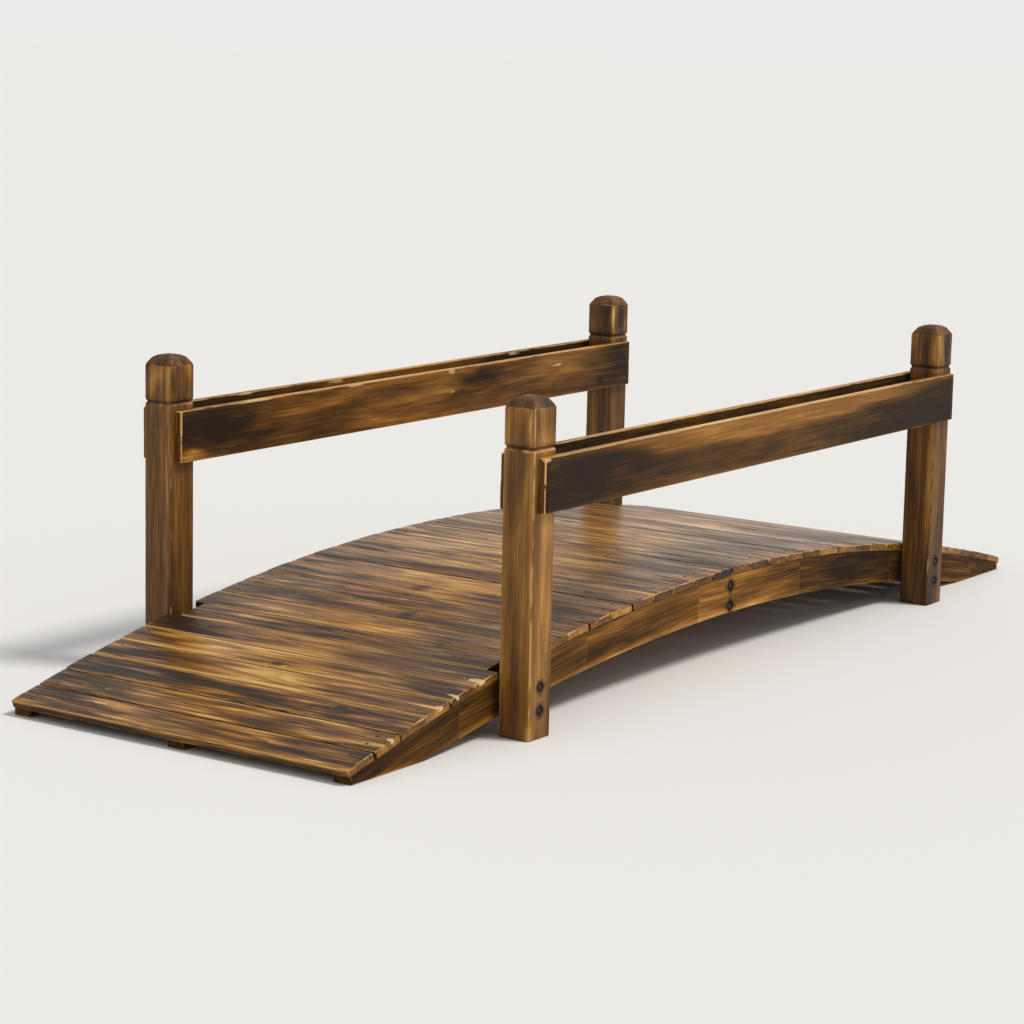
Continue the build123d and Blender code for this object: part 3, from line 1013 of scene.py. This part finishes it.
def around_post(b, c, half):
    """Distance around a square post from the middle of its front face, growing towards the right arris.

    It is b on the front, 2 half + c on the right, 4 half - b on the back and -2 half - c on the left.
    """
    faces = [c <= -np.abs(b), b >= np.abs(c), c >= np.abs(b)]
    return np.select(faces, [b, 2 * half + c, 4 * half - b], -2 * half - c)


def post_toast(name, tone, points, around, place, shoulder, rng):
    """Toast on a post, where place holds the heights of its rows.

    The groove's painted shade fades as exp(-(distance / reach) ** 2).
    """
    a, b, c = np.moveaxis(points, -1, 0)
    toast = tone + POST_DRIFT * drift(a, b + 2 * c, rng, *POST_WAVES)
    toast += FOOT_SOOT * (1 - smoothstep(0, FOOT_SOOT_TOP, a))
    head_from, head_to = shoulder - np.array(HEAD_BELOW)
    toast += HEAD_DRIFT * drift(a, b - c, rng, *HEAD_WAVES) * smoothstep(head_from, head_to, a)
    toast += patches(a, around, POST_PATCHES[name], rng)
    cap_tone = CAP_TONE + CAP_DRIFT * drift(b, c, rng, *CAP_WAVES)
    toast = np.where(a > shoulder + SHOULDER_SLACK, cap_tone, toast)
    # Painted shade in the upper half of the groove, for the shadow under its upper edge.
    from_groove = place - GROOVE_HEIGHT - GROOVE_SHADE_ABOVE * GROOVE_HALF
    toast += GROOVE_SHADE * np.exp(-(from_groove / GROOVE_SHADE_REACH) ** 2)[:, None]
    return toast


print("around a post 62 mm wide, its back right arris is at",
      around_post(np.array([31]), np.array([31]), 31)[0], "mm")

# %% Posts
POST_STEPS = 8
POST_ARRIS_DEPTH = 0.6
POST_PITH_ASIDE, POST_PITH_DEEP = (20, 60), 50


def post_object(name, seed, tone, worn, calm, outward):
    """One post: a along Z, b along X and c along Y."""
    rng = np.random.default_rng(seed)
    centre, (half, _, half_height) = box_mm(name)
    (place, inset, keep, row_wear), shoulder = post_rows(2 * half_height)
    section, section_wear = ring(half, half, POST_ROUND, POST_STEPS, POST_STEPS, bore_lines(0))
    points, wear = loft(section, section_wear, place, inset, keep, row_wear)
    points, wear = soften_arrises(points, wear, rng, POST_ARRIS_DEPTH)
    around = around_post(points[..., 1], points[..., 2], half)
    spots = stack(points[..., 0], around)
    toast = post_toast(name, tone, points, around, place, shoulder, rng)
    for foot in FOOT_BOLTS:
        points, toast = bore(points, toast, outward, foot, 0)

    pith = (rng.uniform(0, LOG_LENGTH), rng.uniform(*POST_PITH_ASIDE),
            rng.uniform(-POST_PITH_DEEP, POST_PITH_DEEP))
    ground = np.array([centre[0], centre[1], 0])
    made = wood_object(name + "_wood", post_fir, points, ground + points[..., [1, 2, 0]],
                       (toast, wear * worn, calm), pith, POST_KNOTS[name], spots=spots)
    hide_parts(name)
    return made


posts = [post_object(*entry) for entry in POSTS]
print(len(posts), "posts,", sum(len(post.data.polygons) for post in posts), "faces")

# %% [markdown]
# ## The rail planks
#
# The torch was held along the lower edge of the planks, so the outer plank of the front rail is golden along
# its top third and charred below and at its ends. The toast is listed along three lines, at the top,
# the middle and the bottom of each plank. The border between the top and the middle is the flame's: on that
# plank it is narrow and rises and falls, and on the others it is wide and level. Soft patches of gold and
# soot are added, and the lower arris is brushed paler. The top edge and the upper arrises are paler still
# with a painted highlight, and the face in the slot between two planks is darkened with painted shade.

# %% Torch marks on the planks
# Places along a plank, from its left end to its right one, in mm.
RAIL_PLACES = (-735, -600, -430, -200, 0, 220, 430, 600, 735)
# Toast along the top, the middle and the bottom of each plank.
RAIL_TORCH = {
    "rail_front_outer": ((0.62, 0.50, 0.44, 0.39, 0.34, 0.31, 0.42, 0.60, 0.70),
                         (0.98, 1.00, 0.91, 0.72, 0.61, 0.61, 0.92, 1.06, 1.04),
                         (0.94, 0.92, 0.74, 0.70, 0.70, 0.73, 0.96, 1.06, 1.08)),
    "rail_front_inner": ((0.66, 0.60, 0.54, 0.48, 0.44, 0.46, 0.54, 0.66, 0.72),
                         (0.80, 0.72, 0.66, 0.60, 0.56, 0.58, 0.66, 0.78, 0.84),
                         (0.84, 0.78, 0.68, 0.64, 0.60, 0.62, 0.70, 0.80, 0.86)),
    "rail_back_inner": ((0.66, 0.74, 0.56, 0.42, 0.42, 0.46, 0.44, 0.52, 0.66),
                        (0.72, 0.78, 0.60, 0.48, 0.46, 0.50, 0.48, 0.62, 0.80),
                        (0.56, 0.74, 0.66, 0.56, 0.50, 0.52, 0.54, 0.68, 0.82)),
    "rail_back_outer": ((0.70, 0.72, 0.80, 0.40, 0.34, 0.44, 0.86, 0.82, 0.78),
                        (0.80, 0.76, 0.76, 0.50, 0.44, 0.50, 0.80, 0.80, 0.84),
                        (0.84, 0.80, 0.66, 0.60, 0.56, 0.60, 0.70, 0.80, 0.86))}
# Height of the flame's upper border along each plank, from -1 at its lower edge to 1 at its upper one, and
# the half width of the border.
RAIL_FLAME = {"rail_front_outer": ((0.86, 0.80, 0.62, 0.32, 0.18, 0.20, 0.40, 0.54, 0.62), 0.18)}
EVEN_FLAME = ((0.31,) * 9, 0.31)
# Two planks show the camera their face in the slot between the planks of a rail. That face gets this much
# more toast, painted shade for the slot's shadow.
SLOT_SHADE = {"rail_front_inner": 0.26, "rail_back_outer": 0.06}
# The flame lay broad and even on the outer plank of the front rail, so its grain is calmer.
RAIL_CALM = {"rail_front_outer": 0.30}
# Gold and soot patches as (along, up from the middle, half length, half width, change of toast).
RAIL_PATCHES = {"rail_back_inner": [(170, 20, 75, 24, 0.50), (-640, 4, 85, 26, 0.46), (690, 8, 60, 34, 0.40),
                                    (-712, -36, 34, 12, -0.42), (-300, 26, 130, 14, -0.14),
                                    (400, 16, 80, 16, -0.16), (-150, -36, 120, 12, -0.16)],
                "rail_front_outer": [(-712, 34, 26, 10, -0.20), (60, 26, 120, 12, -0.08)]}
# Marks as (along, up from the middle, half length, half width). A plank's chips are on the face that looks
# to the front.
RAIL_KNOTS = {"rail_front_outer": [(620, -20, 14, 9)], "rail_front_inner": [(220, 10, 16, 12)],
              "rail_back_inner": [(620, -26, 12, 8)], "rail_back_outer": [(330, -14, 14, 10)]}
RAIL_CHIPS = {"rail_back_inner": [(-530, 45, 60, 3.0), (-232, 44, -26, 3), (76, 42, 13, 5), (84, 2, -16, 3),
                                  (450, 20, 24, 4)],
              "rail_back_outer": [(-470, 44, 22, 3), (-200, 42, 34, 5), (405, 42, -24, 4)],
              "rail_front_outer": [(-731, 42, -13, 4)]}

print("planks with their own patches:", sorted(RAIL_PATCHES))

# %% Toast on a plank
PLANK_SWING = 0.05
# How far the flame's border rises and falls, in half heights, and its waves along the plank.
FLAME_WANDER, FLAME_WAVES = 0.14, (310, 720, 1500)
# The heights between which the toast of the bottom takes over.
BOTTOM_FROM, BOTTOM_TO = -0.10, -0.75
# Gold along the lower arris, how far up it reaches in mm, and a painted highlight on the top edge: the top
# face is made paler, for the light that it catches.
LOW_ARRIS_GOLD, LOW_ARRIS_REACH, TOP_EDGE_HIGHLIGHT = 0.30, 3, 0.30
# Slack in mm for points on a plank's faces.
FACE_SLACK = 0.3


def plank_toast(name, a, b, half_b, rng):
    """Toast on a plank from the tones at its top, middle and bottom, where b runs upwards.

    The top's tone takes over across the flame's border, and the bottom's over the lower part.
    """
    top, middle, bottom = (torch_field(a, b, RAIL_PLACES, tones, rng, PLANK_SWING)
                           for tones in RAIL_TORCH[name])
    height = b / half_b + FLAME_WANDER * wander(a, rng, FLAME_WAVES)
    line, soft = RAIL_FLAME.get(name, EVEN_FLAME)
    line = np.interp(a, RAIL_PLACES, line)
    toast = middle + (top - middle) * smoothstep(line - soft, line + soft, height)
    toast += (bottom - toast) * smoothstep(BOTTOM_FROM, BOTTOM_TO, height)
    toast += patches(a, b, RAIL_PATCHES.get(name, []), rng)
    toast -= LOW_ARRIS_GOLD * np.exp(-((half_b + b) / LOW_ARRIS_REACH) ** 2)
    # Painted highlight: the top face is made paler, for the light it catches.
    toast -= TOP_EDGE_HIGHLIGHT * (b > half_b - FACE_SLACK)
    return toast


print("the flame's border wanders by", FLAME_WANDER, "of a plank's half height")

# %% Rail planks
PLANK_ROUND, PLANK_STEP = 1.8, 14
# How far below a plank's top the slot's painted shade begins, in mm.
SLOT_SHADE_BELOW_TOP = 1
PLANK_END_TONE = 0.55
# Share of the arrises' wear above a plank's middle and below it. The upper share is raised partly as a
# painted highlight, for the light that the upper arrises catch, on top of their wear.
UPPER_WEAR_AND_HIGHLIGHT, LOWER_WEAR = 1.45, 0.8
PLANK_PITH_UP, PLANK_PITH_ASIDE = 35, (30, 80)


def rail_object(name, seed):
    """One rail plank on edge: a along X, b up, c across the bridge."""
    rng = np.random.default_rng(seed)
    centre, (half_a, half_c, half_b) = box_mm(name)
    points, wear = timber(half_a, half_b, half_c, PLANK_ROUND, PLANK_STEP, steps_b=10)
    points, wear = soften_arrises(points, wear, rng, ARRIS_DEPTH)
    a, b, c = np.moveaxis(points, -1, 0)
    toast = plank_toast(name, a, b, half_b, rng)
    # Painted shade: the face in the slot is darkened for the slot's shadow.
    in_slot = (c < FACE_SLACK - half_c) & (b < half_b - SLOT_SHADE_BELOW_TOP)
    toast += SLOT_SHADE.get(name, 0) * in_slot
    end_face = np.abs(a) > half_a - END_SLACK
    toast = np.where(end_face, PLANK_END_TONE, toast)
    calm = np.where(end_face, END_CALM, RAIL_CALM.get(name, 0.0))
    # The upper arrises are made paler partly as a painted highlight.
    wear = wear * np.where(b > 0, UPPER_WEAR_AND_HIGHLIGHT, LOWER_WEAR)
    pith = (rng.uniform(0, LOG_LENGTH), rng.uniform(-PLANK_PITH_UP, PLANK_PITH_UP),
            rng.choice([-1, 1]) * rng.uniform(*PLANK_PITH_ASIDE))
    made = wood_object(name + "_wood", rail_fir, points, centre + points[..., [0, 2, 1]],
                       (toast, wear, calm), pith, RAIL_KNOTS[name], RAIL_CHIPS.get(name), off_face=c > 0)
    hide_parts(name)
    return made


rails = [rail_object(name, 400 + number) for number, name in enumerate(RAIL_TORCH)]
print(len(rails), "rail planks,", sum(len(rail.data.polygons) for rail in rails), "faces")

# %% [markdown]
# ## The stringers
#
# A stringer is glued up from short straight lengths, end to end, and then sawn to an arc on top and below.
# So its grain is straight in each length and turns a little at each joint, a thin lighter line shows there,
# and each length has its own tone. Beside the posts the stringer is darkened with painted shadow, for the
# posts' shadows on it, and the lower edge is golden.
#
# The two arcs are read from the frame: the corners of the imported mesh lie on them, and a circle whose middle
# is on the bridge's mid-plane follows from a straight-line fit, because
# x * x + z * z = 2 z0 z + (r * r - z0 * z0), where z0 is the height of its middle and r its radius.

# %% Arcs of a stringer
# Corners this near the floor or the ends, in mm, lie on them, and corners further off lie on an arc. The arc
# below crests at about this share of the height, near enough to tell its corners from those on top.
FLOOR_SLACK, ARC_SLACK = 0.01, 0.05
UNDER_CREST = 0.56


def arc_through(x, z):
    """Middle height and radius of the circle through points, with its middle on x = 0."""
    (middle, constant), *_ = np.linalg.lstsq(stack(2 * z, 1.0), x * x + z * z, rcond=None)
    return middle, np.sqrt(constant + middle**2)


def stringer_arcs(node):
    """Half length, start of the flat toe, and the arcs on top and below, as (middle, radius).

    A corner belongs to the arc whose guess, a parabola crest * (1 - (x / foot) ** 2), is the nearer one.
    """
    x, z = np.unique(np.round(vertices_mm(node)[:, [0, 2]], 3), axis=0).T
    half, toe = x.max(), np.abs(x[z < FLOOR_SLACK]).min()
    on_arc = (z > ARC_SLACK) & (np.abs(x) < half - ARC_SLACK)
    tip = z[x > half - FLOOR_SLACK].max()
    guess_top = tip + (z.max() - tip) * (1 - (x / half) ** 2)
    guess_under = UNDER_CREST * z.max() * (1 - (x / toe) ** 2)
    is_top = np.abs(z - guess_top) < np.abs(z - guess_under)
    top, under = (arc_through(x[on_arc & side], z[on_arc & side]) for side in (is_top, ~is_top))
    return half, toe, top, under


print("radii of the arcs on top and below:",
      [round(float(radius), 1) for _, radius in stringer_arcs("stringer_front")[2:]])

# %% Toast on a stringer
# Toast along a stringer, from its left end to its right one, and what each length adds to it.
STRINGER_PLACES = (-1140, -900, -700, -450, -150, 100, 300, 480, 700, 900, 1140)
STRINGER_TORCH = (0.76, 0.70, 0.70, 0.56, 0.50, 0.46, 0.76, 0.88, 0.94, 0.74, 0.80)
SEGMENT_TONES = (0.03, -0.03, 0.03, -0.04, 0.03, -0.02, 0.03, 0.0)
# Gold along the lower edge, the lighter line of a joint and the painted shadow beside a post, for the post's
# shadow on the stringer, each with its reach in mm.
LOW_GOLD, LOW_GOLD_REACH = 0.30, 9
JOINT_LIGHT, JOINT_REACH = 0.12, 0.9
POST_SHADOW, POST_SHADOW_REACH = 0.25, 14


def stringer_toast(a, b, half_b, joints, segment, rng):
    """Toast on a stringer. Gold, joint lines and the painted shadow beside a post each fade as exp(-(distance
    / reach) ** 2).
    """
    toast = torch_field(a, b, STRINGER_PLACES, STRINGER_TORCH, rng) + np.array(SEGMENT_TONES)[segment]
    toast -= LOW_GOLD * np.exp(-((half_b + b) / LOW_GOLD_REACH) ** 2)
    from_joint = np.abs(a[..., None] - joints).min(-1)
    toast -= JOINT_LIGHT * np.exp(-(from_joint / JOINT_REACH) ** 2)
    # Painted shadow: the stringer is darker beside each post, for the post's shadow on it.
    for post, *_ in POSTS:
        post_middle, post_halves = box_mm(post)
        from_post = np.abs(a - post_middle[0]) - post_halves[0]
        toast += POST_SHADOW * np.exp(-(from_post / POST_SHADOW_REACH) ** 2)
    return toast


# The reach printed here is that of the painted shadow beside a post.
print("soot reaches", POST_SHADOW_REACH, "mm from a post along a stringer")

# %% Stringers
# Name, seed, and the side of its bolt heads, or 0 for none.
STRINGERS = (("stringer_front", 501, -1), ("stringer_centre", 502, 0), ("stringer_back", 503, 1))
STRINGER_ROUND, STRINGER_STEP = 1.6, 12
MID_BOLTS = (101, 140)
# One joint's place and the spacing of the joints, their least distance from an end, and rows beside a joint.
JOINT_FIRST, JOINT_SPACING = -112, 372
JOINT_CLEAR = 60
JOINT_ROWS = (-3, -0.6, 0, 0.6, 3)
STRINGER_WEAR = 0.55
# Each length comes from its own stretch of the log.
LOG_SHIFT = 1300
STRINGER_PITH_UP, STRINGER_PITH_ASIDE = (-160, -60), (10, 40)


def stringer_object(name, seed, bolted):
    """One arched stringer: a along X, b up the face and c across the bridge.

    It is made straight, and then b picks the height between the two arcs, each sqrt(r * r - a * a) above
    its middle. The grain of each length is straight: the arc's slope there, about -middle / r, times the
    distance from the length's middle is taken off the heights.
    """
    rng = np.random.default_rng(seed)
    half, toe, (top_z, top_r), (under_z, under_r) = stringer_arcs(name)
    centre, (_, half_c, _) = box_mm(name)
    crest, under_crest = top_z + top_r, under_z + under_r
    half_b, mid_height = (crest - under_crest) / 2, (crest + under_crest) / 2
    joints = JOINT_FIRST + JOINT_SPACING * np.arange(-3, 4)
    joints = joints[np.abs(joints) < half - JOINT_CLEAR]
    joint_rows = [joint + step for joint in joints for step in JOINT_ROWS]
    bolt_lines = [line - mid_height for place in MID_BOLTS for line in bore_lines(place)]
    points, wear = timber(half, half_b, half_c, STRINGER_ROUND, STRINGER_STEP, steps_b=7, steps_c=3,
                          extra_a=joint_rows + bore_lines(0) + [-toe, toe], extra_b=bolt_lines)
    segment = np.searchsorted(joints, points[..., 0])
    toast = stringer_toast(points[..., 0], points[..., 1], half_b, joints, segment, rng)
    if bolted:
        for place in MID_BOLTS:
            points, toast = bore(points, toast, bolted, 0, place - mid_height)

    a, b, c = np.moveaxis(points, -1, 0)
    above = np.sqrt(top_r**2 - a**2) + top_z
    below = np.where(np.abs(a) < toe, np.sqrt(under_r**2 - np.minimum(a**2, toe**2)) + under_z, 0)
    height = below + (above - below) * (b + half_b) / (2 * half_b)
    ends = np.concatenate([[-half], joints, [half]])
    segment_middle = ((ends[1:] + ends[:-1]) / 2)[segment]
    straight = height + segment_middle / top_r * (a - segment_middle)
    grain = stack(a + LOG_SHIFT * segment, straight, c)
    pith = (rng.uniform(0, LOG_LENGTH), rng.uniform(*STRINGER_PITH_UP),
            rng.choice([-1, 1]) * rng.uniform(*STRINGER_PITH_ASIDE))
    made = wood_object(name + "_wood", stringer_fir, grain, stack(a, c + centre[1], height),
                       (toast, STRINGER_WEAR * wear, 0), pith)
    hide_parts(name)
    return made


stringers = [stringer_object(*entry) for entry in STRINGERS]
print(len(stringers), "stringers,", sum(len(stringer.data.polygons) for stringer in stringers), "faces")

# %% [markdown]
# ## The cross brace and the bolts
#
# The brace under the crest is plain and charred like the rest, in two lengths that meet the centre stringer
# from both sides. A bolt head is a low hexagon on a washer, at the bottom of its counterbore.

# %% Brace
BRACE_ROUND, BRACE_STEP = 1.5, 30
BRACE_TONE, BRACE_DRIFT, BRACE_WEAR = 0.55, 0.08, 0.5
BRACE_PITH = (20, 50)


def brace_object(name="mid_cross_brace"):
    """The brace's two lengths, from the outer stringers to the centre one."""
    corners = vertices_mm(name)
    made = []
    for side, label in ((-1, "front"), (1, "back")):
        part = corners[np.sign(corners[:, 1]) == side]
        centre, halves = (part.min(0) + part.max(0)) / 2, np.ptp(part, axis=0) / 2
        rng = np.random.default_rng(600 + side)
        points, wear = timber(halves[1], halves[2], halves[0], BRACE_ROUND, BRACE_STEP, steps_b=4)
        toast = BRACE_TONE + BRACE_DRIFT * drift(points[..., 0], points[..., 1], rng)
        piece = wood_object(f"{name}_{label}_wood", stringer_fir, points, centre + points[..., [2, 0, 1]],
                            (toast, BRACE_WEAR * wear, 0), (rng.uniform(0, LOG_LENGTH), *BRACE_PITH))
        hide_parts(name)
        made.append(piece)
    return made


braces = brace_object()
print("the brace is in", len(braces), "lengths")

# %% Bolts
# Sizes in mm. The head's width is across its flats.
WASHER_RADIUS, WASHER_THICK = 6.6, 1.2
HEAD_ACROSS, HEAD_THICK = 9.0, 3.6
BOLT_SIDES = 24
# How far a bolt is turned for each millimetre of its height, in radians, so that no two heads match.
BOLT_TURN = 0.02


def bolt_rings(turn):
    """A washer and a hexagon head that stand on z = 0, each as a closed stack of rings.

    The hexagon's radius in a direction is half its width over the cosine of the angle from the middle of
    the nearest flat.
    """
    around = np.arange(BOLT_SIDES) * 2 * np.pi / BOLT_SIDES
    circle = stack(np.cos(around), np.sin(around))
    to_flat = (around + turn + np.pi / 6) % (np.pi / 3) - np.pi / 6
    hexagon = circle * (HEAD_ACROSS / 2 / np.cos(to_flat))[:, None]
    top = WASHER_THICK + HEAD_THICK
    # Profiles as (share of the outline, height).
    washer = ((1.0, 0.0), (1.0, 0.8 * WASHER_THICK), (0.94, WASHER_THICK))
    head = ((1.0, WASHER_THICK), (1.0, top - 0.7), (0.93, top - 0.25), (0.86, top))
    return [np.array([stack(*(outline * share).T, z) for share, z in rows])
            for outline, rows in ((circle * WASHER_RADIUS, washer), (hexagon, head))]


def bolt_skins(node, outward, places):
    """Bolts in one node's outer face, at its middle along X and at these heights."""
    centre, halves = box_mm(node)
    skins = []
    for place in places:
        seat = np.array([centre[0], centre[1] + outward * (halves[1] - BORE_DEPTH), place])
        for rings in bolt_rings(BOLT_TURN * place + centre[0]):
            turned = stack(rings[..., 0], outward * rings[..., 2], rings[..., 1])
            skins.append(skin(seat + turned))
    return skins


bolted = [(entry[0], entry[-1], FOOT_BOLTS) for entry in POSTS]
bolted += [(entry[0], entry[2], MID_BOLTS) for entry in STRINGERS if entry[2]]
bolts = mesh_object("bolts", [part for entry in bolted for part in bolt_skins(*entry)], bolt_steel)
print(sum(len(entry[2]) for entry in bolted), "bolts,", len(bolts.data.polygons), "faces")

# %% [markdown]
# ## Floor and light
#
# The studio is plain: a pale floor, one broad soft lamp high at the front right, where the picture's light
# comes from, and an even pale sky. The lamp is a sun with a wide disc, so that the whole floor is lit alike
# and the shadows have soft edges. The camera and reflections see the sky as nearly white, while as a light it
# is half as strong, so a level board renders at about its written colour.

# %% Floor
FLOOR_SIZE = 80.0
FLOOR_DROP = 0.3 * mm


def studio_floor():
    """A pale floor just under the feet."""
    mesh = bpy.data.meshes.new("studio_floor")
    half = FLOOR_SIZE / 2
    corners = [(x * half, y * half, -FLOOR_DROP) for x, y in ((-1, -1), (1, -1), (1, 1), (-1, 1))]
    mesh.from_pydata(corners, [], [(0, 1, 2, 3)])
    floor = bpy.data.objects.new("studio_floor", mesh)
    bpy.context.scene.collection.objects.link(floor)
    material, tree = new_material("pale_floor_paint")
    shader = add(tree, "ShaderNodeBsdfPrincipled",
                 {"Base Color": linear("#f3f4f5"), "Roughness": 0.9, "Specular IOR Level": 0.1})
    add(tree, "ShaderNodeOutputMaterial", {"Surface": shader})
    mesh.materials.append(material)
    return floor


floor = studio_floor()
print("floor at", round(floor.data.vertices[0].co.z, 5))

# %% Sky and lamp
# Strength of the sky as a light, and as it is seen.
SKY_LIGHT, SKY_SEEN = 0.48, 0.90
# The azimuth runs from the front towards the right, in degrees like the height and the width of the disc.
SUN_STRENGTH, SUN_AZIMUTH, SUN_HEIGHT, SUN_DISC = 1.9, 22, 56, 16

world = bpy.data.worlds.new("pale_studio")
bpy.context.scene.world = world
world.use_nodes = True
sky = world.node_tree
sky.nodes.clear()
seen = add(sky, "ShaderNodeLightPath", out="Is Camera Ray")
for other in ("Is Glossy Ray", "Is Transmission Ray"):
    seen = add(sky, "ShaderNodeMath", {0: seen, 1: add(sky, "ShaderNodeLightPath", out=other)},
               operation="MAXIMUM")
strength = add(sky, "ShaderNodeMapRange", {0: seen, 3: SKY_LIGHT, 4: SKY_SEEN})
background = add(sky, "ShaderNodeBackground", {"Color": linear("#f6f6f5"), "Strength": strength})
add(sky, "ShaderNodeOutputWorld", {"Surface": background})

sun_data = bpy.data.lights.new("soft_sun", "SUN")
sun_data.energy = SUN_STRENGTH
sun_data.angle = np.radians(SUN_DISC)
sun_data.color = linear("#fff8ee")[:3]
sun = bpy.data.objects.new("soft_sun", sun_data)
turn, rise = np.radians([SUN_AZIMUTH, SUN_HEIGHT])
towards_sun = Vector((np.sin(turn) * np.cos(rise), -np.cos(turn) * np.cos(rise), np.sin(rise)))
sun.rotation_euler = (-towards_sun).to_track_quat("-Z", "Y").to_euler()
bpy.context.scene.collection.objects.link(sun)
print("the lamp stands towards", [round(v, 2) for v in towards_sun])

# %% [markdown]
# ## The camera
#
# The bridge is seen in four views in the picture, and this camera stands where the lower right one was taken,
# off the left end and a little above the rails. The picture's window on that view, 440 pixels wide, fills the
# whole frame here. The place was found by matching the posts, rails and deck to their real sizes.

# %% Camera
# Angles in degrees, with the azimuth as for the lamp, and distances in metres.
CAMERA_AZIMUTH, CAMERA_ELEVATION, CAMERA_ROLL = -55.44, 10.03, 1.236
CAMERA_DISTANCE = 5.6696
CAMERA_RIGHT, CAMERA_UP, CAMERA_AIM_HEIGHT = -0.1129, 0.0228, 0.2127
WINDOW_PIXELS, FOCAL_PIXELS = 440, 1272.1
SENSOR_WIDTH = 36

azimuth, elevation, roll = np.radians([CAMERA_AZIMUTH, CAMERA_ELEVATION, CAMERA_ROLL])
back = np.array([np.sin(azimuth) * np.cos(elevation), -np.cos(azimuth) * np.cos(elevation),
                 np.sin(elevation)])
level = np.array([np.cos(azimuth), np.sin(azimuth), 0.0])
plumb = np.cross(back, level)
right = np.cos(roll) * level + np.sin(roll) * plumb
up = np.cos(roll) * plumb - np.sin(roll) * level
spot = np.array([0, 0, CAMERA_AIM_HEIGHT]) + CAMERA_RIGHT * right + CAMERA_UP * up + CAMERA_DISTANCE * back
lens = bpy.data.cameras.new("camera")
lens.sensor_width = SENSOR_WIDTH
lens.lens = SENSOR_WIDTH * FOCAL_PIXELS / WINDOW_PIXELS
lens.clip_end = 200
camera = bpy.data.objects.new("camera", lens)
rows = [[*row, place] for row, place in zip(stack(right, up, back), spot)]
camera.matrix_world = Matrix([*rows, [0, 0, 0, 1]])
bpy.context.scene.collection.objects.link(camera)
bpy.context.scene.camera = camera
bpy.context.scene.view_settings.view_transform = "Standard"
print("camera at", np.round(spot, 3), "lens", round(lens.lens, 1), "mm")
